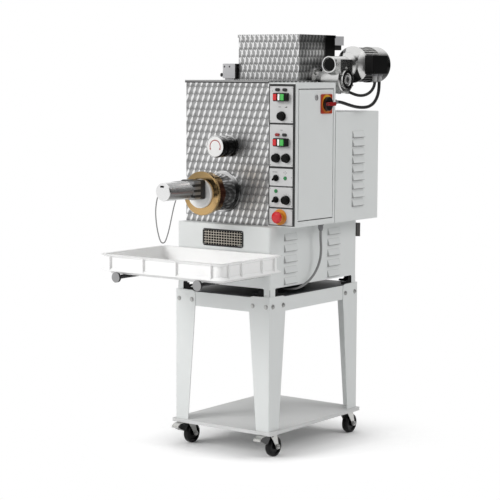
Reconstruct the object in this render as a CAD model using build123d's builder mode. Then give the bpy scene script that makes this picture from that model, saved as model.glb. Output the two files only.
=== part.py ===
"""Electric pasta maker: a screw extruder with a mixing tub on top, on a wheeled sheet-metal stand.

Every sub-part is one builder block and one STEP file.  Sizes are millimetres.  The machine is laid out
about the centre of its stand: +X is the machine's right-hand side, the front faces -Y, Z = 0 is the floor.
The last step moves each piece so that the row frame's origin is the middle of the machine's footprint.
"""

from build123d import *
import math
import os

os.makedirs("parts", exist_ok=True)

# ---------------------------------------------------------------- clearances
running = 0.06  # radial play of a shaft in its bore
sliding = 0.3  # play between faces that pass each other
door_gap = 3.5  # gap round a door in its opening
foot_gap = 0.5  # gap round a leg's foot in the shelf

# ---------------------------------------------------------------- stand and casters
stand_width, stand_depth, stand_top = 464, 630, 640
wheel_dia, wheel_width, caster_trail = 80, 28, 30
caster_head = 28  # from the wheel's top to the stand's underside
caster_height = wheel_dia + caster_head
caster_inset_x, caster_inset_y = 27, 39  # swivel axis in from the stand's corner
caster_plate_x, caster_plate_y, caster_plate_sheet = 70, 80, 3
fork_inner, fork_sheet, axle_dia, kingpin_dia = 36, 3, 10, 12
shelf_overhang_x, shelf_overhang_y, shelf_lip, shelf_sheet = 13, 9, 14, 2
leg_sheet, leg_tab = 3, 40
leg_front_top, leg_front_foot, leg_side_top, leg_side_foot = 98, 62, 108, 66
rail_height, rail_drop, rail_flange, rail_sheet = 57, 6, 25, 2

# ---------------------------------------------------------------- base casing
base_inset_x, base_inset_y = 3, 7  # the casing's walls in from the stand's faces
base_width, base_depth = stand_width - 2 * base_inset_x, stand_depth - 2 * base_inset_y
base_height, sheet = 272, 2
base_top = stand_top + base_height  # the heights of what stands on the casing start from here
base_corner, foot_width, slot_height = 10, 29, 32
grille_width, grille_height, grille_z, grille_x = 200, 68, base_top - 54, 0
grille_columns, grille_rows, grille_bar, grille_border = 15, 6, 3.4, 5
louvre_length, louvre_height, louvre_depth, louvre_pitch = 84, 27, 8, 43
rear_box_louvre_pitch = 34.6
chassis_sheet = 4
door_sheet = 2

# ---------------------------------------------------------------- tray and its rods
tray_width, tray_depth, tray_height, tray_wall = 600, 400, 63, 3
tray_rim, tray_foot_height, tray_foot_inset = 14, 12, 30
rod_dia, rod_spacing, rod_reach, rod_disc_dia, rod_disc = 16, 394, 409, 40, 10
rod_z = stand_top + 87

# ---------------------------------------------------------------- upper body
body_left, body_right = -base_width / 2 + 4, base_width / 2 - 46
body_front, body_back = -base_depth / 2 + 51, base_depth / 2 + 32
body_top = base_top + 562
cover_drop, cover_overhang = 8, 4
cabinet_width, cabinet_depth, cabinet_top = 126, 275, base_top + 557
rear_box_gap, rear_box_top = 4, base_top + 440
panel_sheet, plate_sheet = 3, 2

# ---------------------------------------------------------------- extruder head
screw_x, screw_z = -32, base_top + 126
flange_dia, flange_sheet, collar_dia, collar_reach = 165, 12, 146, 98
nose_dia, nose_reach = 130, 140
ring_dia, ring_body_dia, ring_reach, ring_flats = 172, 162, 153, 8
die_dia, die_face_dia, die_rim, die_reach = 126, 113, 6, 163
barrel_bore, barrel_dia = 62, 82
screw_pitch, screw_core, flight_sheet = 44, 28, 5
cutter_x, cutter_z = screw_x - 3, screw_z + 18
motor_tube_dia, motor_tube_length = 70, 148
gear_block_x, gear_block_z, gear_block_length, cutter_foot = 72, 75, 55, 12
stud_dia, knife_hub_dia, knife_length, knife_sheet = 16, 40, 52, 2.5

# ---------------------------------------------------------------- tub gate and its knob
gate_x, gate_z = -7, base_top + 307
knob_dia, knob_reach, gate_shaft_dia = 88, 94, 16
duct_inner_x, duct_inner_y, duct_wall, gate_sheet = 120, 110, 4, 4

# ---------------------------------------------------------------- mixing tub and gearmotor
tub_width, tub_depth, tub_front, tub_sheet = 300, 258, body_front + 250, 2
tub_floor, tub_top, lid_sheet, lid_lip = base_top + 439, base_top + 745, 2, 10
tub_y = tub_front + tub_depth / 2
mixer_z = tub_floor + tub_depth / 2  # the shaft lies on the axis of the tub's round floor
upper_back = tub_y + 78  # the body's back above the rear deck
mixer_shaft_dia, paddle_dia, paddle_gap = 25, 14, 9
gearbox_inner, gearbox_outer, gearbox_dia, hub_dia = body_right + 17, body_right + 109, 110, 76
worm_x, worm_rise, worm_tube_dia, worm_tube_front = gearbox_inner + 50, 60, 66, tub_y - 58
bell_start, bell_end, cowl_start, motor_end = tub_y + 75, tub_y + 113, tub_y + 228, tub_y + 301
motor_dia = 140
terminal_x, terminal_y, terminal_z, terminal_face = 40, 112, 76, worm_x + 115
terminal_y_centre = tub_y + 140
gland_length = 30

# ---------------------------------------------------------------- main drive in the base
main_motor_dia, main_motor_length, main_motor_z = 160, 210, stand_top + 105
main_motor_back = base_depth / 2 - 63
pulley_small, pulley_large, belt_width, belt_sheet, belt_y = 80, 150, 20, 6, main_motor_back + 33

# ---------------------------------------------------------------- cords and the glands they start from
lead_dia, base_cable_dia, motor_cable_dia = 4.5, 10, 13
base_gland_x, base_gland_y = body_right + 85, body_front + 239
motor_gland_x, motor_gland_z = body_right + 113, base_top + 480
sensor_gland_y, sensor_gland_z = tub_y + 58, base_top + 529
terminal_gland_y = (terminal_y_centre - 12, terminal_y_centre + 22)
drive_gland_x = 60
lead_start_y, lead_start_z, lead_end_z = body_front - 205, cutter_z + 31, screw_z - 11

# ---------------------------------------------------------------- worked-out places
stand_left, stand_front = -stand_width / 2, -stand_depth / 2
shelf_top = caster_height + shelf_sheet
pivot_x, pivot_y = stand_width / 2 - caster_inset_x, stand_depth / 2 - caster_inset_y
rail_top = stand_top - rail_drop
base_left, base_front = -base_width / 2, -base_depth / 2
cabinet_right = body_right + cabinet_width
cabinet_back = body_front + cabinet_depth
rear_box_front = cabinet_back + rear_box_gap
tray_bottom = rod_z + rod_dia / 2 + sliding
tray_flange_z = tray_bottom + tray_foot_height
tray_back = base_front - 4
tub_back = tub_front + tub_depth
tub_right, tub_left = tub_width / 2, -tub_width / 2
cover_z = body_top - cover_drop
deck_z = body_top + sheet
worm_z = mixer_z + worm_rise
frame_x = (tray_width / 2 - terminal_face) / 2
frame_y = (base_depth / 2 + rod_reach + rod_disc - motor_end) / 2
to_frame = Location((frame_x, frame_y, 0))


# ---------------------------------------------------------------- shared steps
def front(y):
    """The plane at Y = y that faces the front, with sketch axes X and Z."""
    return Plane.XZ.offset(-y)


def side(x):
    """The plane at X = x that faces right, with sketch axes Y and Z."""
    return Plane.YZ.offset(x)


def level(z):
    """The plane at Z = z that faces up."""
    return Plane.XY.offset(z)


def block(x, y, z, mode=Mode.ADD):
    """Add or cut the box between three pairs of limits."""
    with Locations(((x[0] + x[1]) / 2, (y[0] + y[1]) / 2, (z[0] + z[1]) / 2)):
        Box(x[1] - x[0], y[1] - y[0], z[1] - z[0], mode=mode)


def turned(origin, direction, profile, mode=Mode.ADD):
    """Revolve (distance along the axis, radius) points about the axis through origin."""
    normal = (1, 0, 0) if direction[0] == 0 else (0, 0, 1)
    with BuildSketch(Plane(origin=origin, x_dir=direction, z_dir=normal)) as section:
        Polygon(*profile, align=None)
    revolve(section.sketch, axis=Axis(origin, direction), mode=mode)


def rod(origin, direction, start, end, radius, mode=Mode.ADD):
    """Add or cut a round bar from start to end along an axis."""
    turned(origin, direction, [(start, 0), (end, 0), (end, radius), (start, radius)], mode)


def gland(origin, direction, sunk=1):
    """Add a cable gland: a hexagon-sized collar, a nut and a tapered mouth the cord starts from."""
    turned(origin, direction, [(-sunk, 0), (-sunk, 13), (7, 13), (7, 10), (gland_length - 9, 10),
                               (gland_length - 3, 8), (gland_length, 7.5), (gland_length, 0)])


def louvres(place, outward, tops, mode=Mode.ADD):
    """Add the hoods, or cut the mouths, of a column of pressed louvres centred at place on a wall."""
    along = Vector(*outward).cross(Vector(0, 0, 1))
    inset = 0 if mode == Mode.ADD else sheet
    start = Vector(*place) - along * (louvre_length / 2 - inset)
    low, lip = -louvre_height, louvre_depth - 1.5
    for top in tops:
        with BuildSketch(Plane(origin=start + Vector(0, 0, top), x_dir=outward, z_dir=along)) as section:
            if mode == Mode.ADD:
                Polygon((0, 0), (0, low), (louvre_depth, low), (louvre_depth, low + 4), align=None)
            else:
                Polygon((-3, -5), (-3, low - 1), (lip, low - 1), (lip, low + 4), align=None)
        extrude(section.sketch, amount=louvre_length - 2 * inset, dir=along, mode=mode)


def save(name, *pieces):
    """Write the solids of one node in the row frame."""
    solids = [solid for piece in pieces for solid in piece.part.solids()]
    node = Compound(children=solids).moved(to_frame) if len(solids) > 1 else solids[0].moved(to_frame)
    node.label = name
    export_step(node, f"parts/{name}.step")


# ================================================================ stand
# Four tapered angle legs, each folded from one sheet, with a tab at the top and one at the foot.  The
# feet pass through the shelf and stand on the caster plates.
with BuildPart() as legs:
    with BuildSketch(front(stand_front)):
        Polygon((stand_left, caster_height), (stand_left + leg_front_foot, caster_height),
                (stand_left + leg_front_top, rail_top - rail_height),
                (stand_left + leg_front_top, rail_top), (stand_left + leg_front_top - 18, stand_top),
                (stand_left, stand_top), align=None)
    extrude(amount=-leg_sheet)
    with BuildSketch(side(stand_left)):
        Polygon((stand_front, caster_height), (stand_front + leg_side_foot, caster_height),
                (stand_front + leg_side_top, rail_top - rail_height),
                (stand_front + leg_side_top, rail_top), (stand_front + leg_side_top - 18, stand_top),
                (stand_front, stand_top), align=None)
    extrude(amount=leg_sheet)
    for tab_z in (caster_height, stand_top - leg_sheet):
        block((stand_left, stand_left + leg_tab), (stand_front, stand_front + leg_tab),
              (tab_z, tab_z + leg_sheet))
    corner = legs.edges().filter_by(Axis.Z).sort_by(lambda edge: edge.center().X + edge.center().Y)[0]
    fillet(corner, radius=leg_sheet)
    mirror(about=Plane.YZ)
    mirror(about=Plane.XZ)
save("legs", legs)

# Four top rails: angle section, the web bolted behind the legs and the flange turned inwards.
with BuildPart() as rails:
    web_y, web_x = stand_front + leg_sheet, stand_left + leg_sheet
    end_x = -web_x - rail_sheet - 0.5
    block((-end_x, end_x), (web_y, web_y + rail_sheet), (rail_top - rail_height, rail_top))
    block((-end_x, end_x), (web_y, web_y + rail_flange), (rail_top - rail_sheet, rail_top))
    mirror(about=Plane.XZ)
with BuildPart() as side_rails:
    end_y = -web_y - rail_sheet - 0.5
    flange_y = -web_y - rail_flange - 0.5
    block((web_x, web_x + rail_sheet), (-end_y, end_y), (rail_top - rail_height, rail_top))
    block((web_x, web_x + rail_flange), (-flange_y, flange_y), (rail_top - rail_sheet, rail_top))
    mirror(about=Plane.YZ)
save("rails", rails, side_rails)

# The bottom shelf is a folded tray turned upside down, so its lip hides the caster plates.  Each corner
# has a cut-out in the shape of the leg's foot.
with BuildPart() as shelf:
    shelf_x, shelf_y = stand_width + 2 * shelf_overhang_x, stand_depth + 2 * shelf_overhang_y
    with BuildSketch(level(shelf_top - shelf_lip)):
        RectangleRounded(shelf_x, shelf_y, 4)
    extrude(amount=shelf_lip)
    with BuildSketch(level(shelf_top - shelf_lip)):
        Rectangle(shelf_x - 2 * shelf_sheet, shelf_y - 2 * shelf_sheet)
    extrude(amount=shelf_lip - shelf_sheet, mode=Mode.SUBTRACT)
    foot_arm, foot_tab = leg_sheet + foot_gap, leg_tab + foot_gap
    foot_x, foot_y = leg_front_foot + 2 * foot_gap, leg_side_foot + 2 * foot_gap
    foot_outline = ((-foot_gap, -foot_gap), (foot_x, -foot_gap), (foot_x, foot_arm), (foot_tab, foot_arm),
                    (foot_tab, foot_tab), (foot_arm, foot_tab), (foot_arm, foot_y), (-foot_gap, foot_y))
    with BuildSketch(level(shelf_top)):
        Polygon(*[(stand_left + x, stand_front + y) for x, y in foot_outline], align=None)
        mirror(about=Plane.YZ)
        mirror(about=Plane.XZ)
    extrude(amount=-shelf_sheet, mode=Mode.SUBTRACT)
save("shelf", shelf)

# ================================================================ casters
caster_corners = {"front_left": (-1, -1), "front_right": (1, -1),
                  "back_left": (-1, 1), "back_right": (1, 1)}
plate_z = caster_height - caster_plate_sheet
race_z, race_dia, fork_head_dia = plate_z - 5.2, 52, 56
fork_z = race_z - sliding
rivet_z = fork_z - fork_sheet - 0.5 - sliding
axle_z = wheel_dia / 2

with BuildPart() as caster_plates:
    with BuildSketch(level(plate_z)):
        with GridLocations(2 * pivot_x, 2 * pivot_y, 2, 2):
            RectangleRounded(caster_plate_x, caster_plate_y, 5)
    extrude(amount=caster_plate_sheet)
    for across, along in caster_corners.values():
        turned((across * pivot_x, along * pivot_y, 0), (0, 0, 1),
               [(rivet_z - 4, 0), (rivet_z - 4, 8), (rivet_z, 10), (rivet_z, kingpin_dia / 2),
                (race_z, kingpin_dia / 2), (race_z, race_dia / 2), (plate_z, race_dia / 2), (plate_z, 0)])
save("caster_plates", caster_plates)

pedal_pivot_y, pedal_pivot_z, pedal_pin_dia = -2, plate_z - 19, 8
for corner_name, (across, along) in caster_corners.items():
    fork_x, fork_y = across * pivot_x, along * pivot_y
    axle_y = fork_y + caster_trail
    has_pedal = along < 0

    # A pressed fork: a round head under the swivel race and two cheeks that rake back to the axle.
    with BuildPart() as fork:
        with BuildSketch(level(fork_z)):
            with Locations((fork_x, fork_y)):
                Circle(fork_head_dia / 2)
        extrude(amount=-fork_sheet - 0.5)
        for cheek_x in (fork_x + fork_inner / 2, fork_x - fork_inner / 2 - fork_sheet):
            with BuildSketch(side(cheek_x)):
                Polygon((fork_y - 20, fork_z), (fork_y + 24, fork_z), (axle_y + 9, axle_z),
                        (axle_y - 9, axle_z), align=None)
                with Locations((axle_y, axle_z)):
                    Circle(9.5)
            extrude(amount=fork_sheet)
        rod((fork_x, fork_y, 0), (0, 0, 1), race_z - 20, race_z, kingpin_dia / 2 + running, Mode.SUBTRACT)
        rod((fork_x, axle_y, axle_z), (1, 0, 0), -30, 30, axle_dia / 2 + 0.1, Mode.SUBTRACT)
        if has_pedal:
            rod((fork_x, fork_y + pedal_pivot_y, pedal_pivot_z), (1, 0, 0), -30, 30,
                pedal_pin_dia / 2 + running, Mode.SUBTRACT)
    with BuildPart() as axle:
        cheek = fork_inner / 2 + fork_sheet
        turned((fork_x, axle_y, axle_z), (1, 0, 0),
               [(-cheek - 5, 0), (-cheek - 5, 7), (-cheek - 4, 8.5), (-cheek, 8.5), (-cheek, axle_dia / 2),
                (cheek, axle_dia / 2), (cheek, 8.5), (cheek + 4, 8.5), (cheek + 5, 7), (cheek + 5, 0)])
    save(f"caster_fork_{corner_name}", fork, axle)

    # The wheel: a crowned tyre, dished sides and a hub that just clears the cheeks.
    with BuildPart() as wheel:
        half, hub, rim = wheel_width / 2, fork_inner / 2 - 0.5, wheel_dia / 2
        bore = axle_dia / 2 + running
        turned((fork_x, axle_y, axle_z), (1, 0, 0),
               [(-hub, bore), (-hub, 11), (-half + 5, 13), (-half + 5, rim - 13), (-half, rim - 11),
                (-half, rim - 6), (-half + 2, rim - 2), (-half + 7, rim), (half - 7, rim),
                (half - 2, rim - 2), (half, rim - 6), (half, rim - 11), (half - 5, rim - 13),
                (half - 5, 13), (hub, 11), (hub, bore)])
    save(f"caster_wheel_{corner_name}", wheel)

    # The brake pedal of a front caster: a toe plate on a cross pin between the cheeks.
    if has_pedal:
        with BuildPart() as pedal:
            with BuildSketch(side(fork_x - fork_inner / 2 + 2)):
                with Locations((fork_y, plate_z)):
                    Polygon((4, -23), (4, -16), (-14, -16), (-26, -11), (-66, -13), (-80, -21), (-62, -34),
                            (-38, -46), (-28, -43), (-14, -25), align=None)
            extrude(amount=fork_inner - 4)
            rod((fork_x, fork_y + pedal_pivot_y, pedal_pivot_z), (1, 0, 0),
                -fork_inner / 2 - fork_sheet, fork_inner / 2 + fork_sheet, pedal_pin_dia / 2)
        save(f"caster_pedal_{corner_name}", pedal)

# ================================================================ base casing
slot_top = stand_top + slot_height
side_slot = base_depth / 2 - foot_width - 6
louvre_tops = [base_top - 31 - row * louvre_pitch for row in range(5)]
louvre_columns = (base_front + 136, -base_front - 174)
belt_hole_x = (screw_x - pulley_large / 2 - 12, screw_x + pulley_large / 2 + 12)
belt_hole_y = (belt_y - belt_width / 2 - 8, belt_y + belt_width / 2 + 8)
door_x, door_z = base_width / 2 - 24, (slot_top + 14, base_top - 12)

with BuildPart() as base_casing:
    with BuildSketch(level(stand_top)):
        RectangleRounded(base_width, base_depth, base_corner)
    extrude(amount=base_height)
    with BuildSketch(level(stand_top)):
        RectangleRounded(base_width - 2 * sheet, base_depth - 2 * sheet, base_corner - sheet)
    extrude(amount=base_height - sheet, mode=Mode.SUBTRACT)
    with BuildSketch(front(base_front)):
        with Locations((0, stand_top)):
            RectangleRounded(base_width - 2 * foot_width, 2 * slot_height, 6)
    extrude(amount=-base_depth, mode=Mode.SUBTRACT)
    with BuildSketch(side(base_left)):
        with Locations((0, stand_top)):
            RectangleRounded(2 * side_slot, 2 * slot_height, 6)
    extrude(amount=base_width, mode=Mode.SUBTRACT)
    for outward in (-1, 1):
        for column in louvre_columns:
            for mode in (Mode.ADD, Mode.SUBTRACT):
                louvres((outward * base_width / 2, column), (outward, 0, 0), louvre_tops, mode)
    with BuildSketch(front(base_front)):
        with Locations((grille_x, grille_z)):
            RectangleRounded(grille_width - 8, grille_height - 8, 8)
    extrude(amount=-sheet, mode=Mode.SUBTRACT)
    for rod_x in (-rod_spacing / 2, rod_spacing / 2):
        rod((rod_x, base_front, rod_z), (0, 1, 0), -1, sheet + 1, rod_dia / 2 + sliding, Mode.SUBTRACT)
    block((-door_x + 18, door_x - 18), (-base_front - sheet, -base_front), (door_z[0] + 18, door_z[1] - 18),
          Mode.SUBTRACT)
    block(belt_hole_x, belt_hole_y, (base_top - sheet, base_top), Mode.SUBTRACT)
# the fixed leaves and pins of the rear door's two hinges
hinge_x, hinge_y, hinge_pin_dia, knuckle = -door_x - 6, -base_front + 6, 6, 40
knuckle_places = (door_z[0] + 12, door_z[1] - 12 - knuckle)
with BuildPart() as door_hinge_leaves:
    for knuckle_z in knuckle_places:
        for leaf_z in (knuckle_z - 12.4, knuckle_z + knuckle + 0.4):
            rod((hinge_x, hinge_y, 0), (0, 0, 1), leaf_z, leaf_z + 12, 6)
            block((hinge_x - 6, hinge_x + 3), (-base_front, hinge_y), (leaf_z, leaf_z + 12))
        rod((hinge_x, hinge_y, 0), (0, 0, 1), knuckle_z - 12.4, knuckle_z + knuckle + 12.4, hinge_pin_dia / 2)
save("base_casing", base_casing, door_hinge_leaves)

# The pressed grille over the pasta-drying fan, with the two plates that carry the fan's spindle.
fan_y, fan_dia, fan_half, fan_spindle_dia = base_front + 40, 56, 86, 10
fan_plate_x = fan_half + 6
with BuildPart() as fan_grille:
    with BuildSketch(front(base_front)):
        with Locations((grille_x, grille_z)):
            RectangleRounded(grille_width, grille_height, 10)
            pitch_x = (grille_width - 2 * grille_border + grille_bar) / grille_columns
            pitch_z = (grille_height - 2 * grille_border + grille_bar) / grille_rows
            with GridLocations(pitch_x, pitch_z, grille_columns, grille_rows):
                Rectangle(pitch_x - grille_bar, pitch_z - grille_bar, mode=Mode.SUBTRACT)
    extrude(amount=sheet)
    for end in (-1, 1):
        plate = sorted((grille_x + end * fan_plate_x, grille_x + end * (fan_plate_x + sheet)))
        block(plate, (base_front, fan_y + 22), (grille_z - 24, grille_z + 24))
    rod((grille_x, fan_y, grille_z), (1, 0, 0), -fan_plate_x - 9, fan_plate_x + 9,
        fan_spindle_dia / 2 + running, Mode.SUBTRACT)
save("fan_grille", fan_grille)

# The fan is a cross-flow drum: two end discs, a ring of blades and a spindle.
with BuildPart() as fan_rotor:
    for disc_x in (-fan_half, fan_half - 3):
        rod((grille_x, fan_y, grille_z), (1, 0, 0), disc_x, disc_x + 3, fan_dia / 2)
    rod((grille_x, fan_y, grille_z), (1, 0, 0), -fan_plate_x - 8, fan_plate_x + 8, fan_spindle_dia / 2)
    with BuildSketch(side(grille_x - fan_half + 1)):
        with Locations((fan_y, grille_z)):
            with PolarLocations(fan_dia / 2 - 5, 14):
                Rectangle(8, 1.6, rotation=35)
    extrude(amount=2 * fan_half - 2)
save("fan_rotor", fan_rotor)

# The rear door of the base hangs on pins at its left edge and has a latch at its right edge.
with BuildPart() as rear_door:
    block((-door_x, door_x), (-base_front + sliding, -base_front + sliding + door_sheet), door_z)
    block((-door_x + 20, door_x - 20), (-base_front - 10, -base_front + sliding + door_sheet),
          (door_z[0] + 20, door_z[1] - 20))
    block((-door_x + 22, door_x - 22), (-base_front - 12, -base_front + sliding),
          (door_z[0] + 22, door_z[1] - 22), Mode.SUBTRACT)
    for knuckle_z in knuckle_places:
        block((hinge_x, -door_x + 1), (-base_front + sliding, -base_front + sliding + door_sheet),
              (knuckle_z, knuckle_z + knuckle))
        rod((hinge_x, hinge_y, 0), (0, 0, 1), knuckle_z, knuckle_z + knuckle, 6)
        rod((hinge_x, hinge_y, 0), (0, 0, 1), knuckle_z - 1, knuckle_z + knuckle + 1,
            hinge_pin_dia / 2 + running, Mode.SUBTRACT)
    latch_z = base_top - 53
    with BuildSketch(level(latch_z - 28)):
        Polygon((door_x - 26, -base_front + sliding + door_sheet), (door_x - 20, -base_front + 14),
                (door_x + 32, -base_front + 16), (door_x + 34, -base_front + 10),
                (door_x + 24, -base_front + 2.5), align=None)
    extrude(amount=56)
save("rear_door", rear_door)

# ================================================================ tray and its rods
with BuildPart() as tray_rods:
    for rod_x in (-rod_spacing / 2, rod_spacing / 2):
        turned((rod_x, base_front, rod_z), (0, -1, 0),
               [(-36, 0), (-36, rod_dia / 2), (-12, rod_dia / 2), (-12, 13), (-sheet, 13),
                (-sheet, rod_dia / 2), (rod_reach, rod_dia / 2), (rod_reach, rod_disc_dia / 2),
                (rod_reach + rod_disc - 1, rod_disc_dia / 2), (rod_reach + rod_disc, rod_disc_dia / 2 - 1),
                (rod_reach + rod_disc, 0)])
save("tray_rods", tray_rods)

# The pasta tray: a stacking box with a flared rim and a flared foot flange, ribs between them.
with BuildPart() as tray:
    tray_y = tray_back - tray_depth / 2
    rim_z = tray_flange_z + tray_height
    wall_x, wall_y = tray_width - 2 * tray_rim, tray_depth - 2 * tray_rim
    with BuildSketch(level(tray_flange_z)):
        with Locations((0, tray_y)):
            RectangleRounded(wall_x, wall_y, 26)
    extrude(amount=tray_height)
    for flange_z, flare in ((tray_flange_z, 1), (rim_z, -1)):
        with BuildSketch(level(flange_z)):
            with Locations((0, tray_y)):
                RectangleRounded(tray_width, tray_depth, 30)
        with BuildSketch(level(flange_z + flare * 11)):
            with Locations((0, tray_y)):
                RectangleRounded(wall_x, wall_y, 26)
        loft()
    with BuildSketch(level(tray_bottom)):
        with Locations((0, tray_y)):
            RectangleRounded(tray_width - 2 * tray_foot_inset, tray_depth - 2 * tray_foot_inset, 20)
    extrude(amount=tray_foot_height)
    for rib_x in (-245, -80, 80, 245):
        block((rib_x - 1.5, rib_x + 1.5), (tray_y - tray_depth / 2 + 5, tray_y + tray_depth / 2 - 5),
              (tray_flange_z + 2, rim_z - 2))
    for rib_y in (-145, -65, 65, 145):
        block((-tray_width / 2 + 5, tray_width / 2 - 5), (tray_y + rib_y - 1.5, tray_y + rib_y + 1.5),
              (tray_flange_z + 2, rim_z - 2))
    with BuildSketch(level(rim_z)):
        with Locations((0, tray_y)):
            RectangleRounded(wall_x - 2 * tray_wall, wall_y - 2 * tray_wall, 24)
    extrude(amount=-(tray_height - 1), mode=Mode.SUBTRACT)
save("tray", tray)

# ================================================================ main drive
# The motor stands on a chassis plate that lies on the stand's rails, inside the base casing.
chassis_x, chassis_y = -web_x - rail_sheet - 2, -web_y - rail_sheet - 2
with BuildPart() as chassis_plate:
    block((-chassis_x, chassis_x), (-chassis_y, chassis_y), (rail_top, rail_top + chassis_sheet))
    notch = leg_tab + 2
    for across, along in caster_corners.values():
        block(sorted((across * (chassis_x + 1), across * (stand_width / 2 - notch))),
              sorted((along * (chassis_y + 1), along * (stand_depth / 2 - notch))),
              (rail_top - 1, rail_top + chassis_sheet + 1), Mode.SUBTRACT)
with BuildPart() as main_motor:
    motor_front = main_motor_back - main_motor_length
    floor_z = rail_top + chassis_sheet
    turned((screw_x, main_motor_back, main_motor_z), (0, -1, 0),
           [(0, 0), (0, main_motor_dia / 2 - 12), (14, main_motor_dia / 2),
            (main_motor_length - 30, main_motor_dia / 2),
            (main_motor_length - 30, main_motor_dia / 2 - 5), (main_motor_length - 6, main_motor_dia / 2 - 5),
            (main_motor_length, main_motor_dia / 2 - 20), (main_motor_length, 0)])
    block((screw_x - 85, screw_x + 85), (motor_front + 40, main_motor_back - 20), (floor_z, floor_z + 8))
    for foot_x in (screw_x - 60, screw_x + 60):
        block((foot_x - 6, foot_x + 6), (motor_front + 50, main_motor_back - 30),
              (floor_z, main_motor_z - 40))
    block((screw_x + 60, screw_x + 110), (motor_front + 60, motor_front + 140),
          (main_motor_z - 30, main_motor_z + 30))
    gland((drive_gland_x, motor_front + 60, main_motor_z), (0, -1, 0))
    motor_shaft_dia = 24
    rod((screw_x, main_motor_back, main_motor_z), (0, 1, 0), -60, 1, motor_shaft_dia / 2 + running,
        Mode.SUBTRACT)
save("main_motor", chassis_plate, main_motor)

with BuildPart() as motor_pulley:
    groove = pulley_small / 2 - belt_sheet
    half_belt = belt_width / 2 + 1
    turned((screw_x, belt_y, main_motor_z), (0, 1, 0),
           [(main_motor_back - belt_y - 55, 0), (main_motor_back - belt_y - 55, motor_shaft_dia / 2),
            (-half_belt - 3, motor_shaft_dia / 2), (-half_belt - 3, pulley_small / 2 + 2),
            (-half_belt, pulley_small / 2 + 2), (-half_belt, groove), (half_belt, groove),
            (half_belt, pulley_small / 2 + 2), (half_belt + 3, pulley_small / 2 + 2), (half_belt + 3, 0)])
save("motor_pulley", motor_pulley)

# The belt: the common outer tangents of the two pulleys, closed round them.
with BuildPart() as drive_belt:
    for shrink, mode in ((0, Mode.ADD), (belt_sheet - sliding, Mode.SUBTRACT)):
        small, large = pulley_small / 2 - shrink, pulley_large / 2 - shrink
        with BuildSketch(front(belt_y + belt_width / 2)):
            with BuildLine():
                span = screw_z - main_motor_z
                lean = math.asin((large - small) / span)
                cos_lean, sin_lean = math.cos(lean), math.sin(lean)
                low = [(screw_x + s * small * cos_lean, main_motor_z - small * sin_lean) for s in (-1, 1)]
                high = [(screw_x + s * large * cos_lean, screw_z - large * sin_lean) for s in (-1, 1)]
                Line(low[0], high[0])
                ThreePointArc(high[0], (screw_x, screw_z + large), high[1])
                Line(high[1], low[1])
                ThreePointArc(low[1], (screw_x, main_motor_z - small), low[0])
            make_face()
        extrude(amount=belt_width, mode=mode)
save("drive_belt", drive_belt)

# ================================================================ extruder
bearing_back = belt_y - belt_width / 2 - 12
chamber_front, chamber_back = tub_y - 80, tub_y + 80
duct_top = mixer_z - tub_depth / 2 + 40
half_x, half_y = duct_inner_x / 2 + duct_wall, duct_inner_y / 2 + duct_wall
throat_top = gate_z - 90
# The gate duct leads from the tub's outlet down to the throat, past the gate's shaft.
with BuildPart() as gate_duct:
    block((gate_x - half_x, gate_x + half_x), (tub_y - half_y, tub_y + half_y), (throat_top, duct_top))
    block((gate_x - duct_inner_x / 2, gate_x + duct_inner_x / 2),
          (tub_y - duct_inner_y / 2, tub_y + duct_inner_y / 2), (throat_top - 1, duct_top + 1), Mode.SUBTRACT)
    rod((gate_x, body_front, gate_z), (0, 1, 0), 0, tub_y + half_y - body_front, gate_shaft_dia / 2 + running,
        Mode.SUBTRACT)
    rod((0, tub_y, mixer_z), (1, 0, 0), -tub_width, tub_width, tub_depth / 2, Mode.SUBTRACT)
with BuildPart() as extrusion_chamber:
    # trough under the gate duct, narrowing to the barrel's bore
    with BuildSketch(level(throat_top)):
        with Locations((gate_x, tub_y)):
            Rectangle(2 * half_x, 2 * half_y)
    with BuildSketch(level(screw_z)):
        with Locations((screw_x, tub_y)):
            Rectangle(barrel_dia, chamber_back - chamber_front)
    loft()
    turned((screw_x, body_front, screw_z), (0, -1, 0),
           [(-(bearing_back - body_front), 0), (-(bearing_back - body_front), 45),
            (-(chamber_back - body_front), 45), (-(chamber_back - body_front), barrel_dia / 2),
            (0, barrel_dia / 2), (0, flange_dia / 2), (flange_sheet - 2, flange_dia / 2),
            (flange_sheet, flange_dia / 2 - 2), (flange_sheet, collar_dia / 2),
            (collar_reach - 3, collar_dia / 2), (collar_reach, collar_dia / 2 - 3),
            (collar_reach, nose_dia / 2), (nose_reach, nose_dia / 2), (nose_reach, 0)])
    # the hollow: throat and screw bore
    with BuildSketch(level(throat_top)):
        with Locations((gate_x, tub_y)):
            Rectangle(duct_inner_x, duct_inner_y)
    with BuildSketch(level(screw_z)):
        with Locations((screw_x, tub_y)):
            Rectangle(barrel_bore - 4, chamber_back - chamber_front - 20)
    loft(mode=Mode.SUBTRACT)
    rod((screw_x, body_front, screw_z), (0, -1, 0), -(chamber_back - 10 - body_front), nose_reach,
        barrel_bore / 2, Mode.SUBTRACT)
    screw_shaft_dia = 28
    rod((screw_x, body_front, screw_z), (0, -1, 0), -(bearing_back - body_front), 0,
        screw_shaft_dia / 2 + running, Mode.SUBTRACT)
save("extrusion_chamber", gate_duct, extrusion_chamber)

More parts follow.
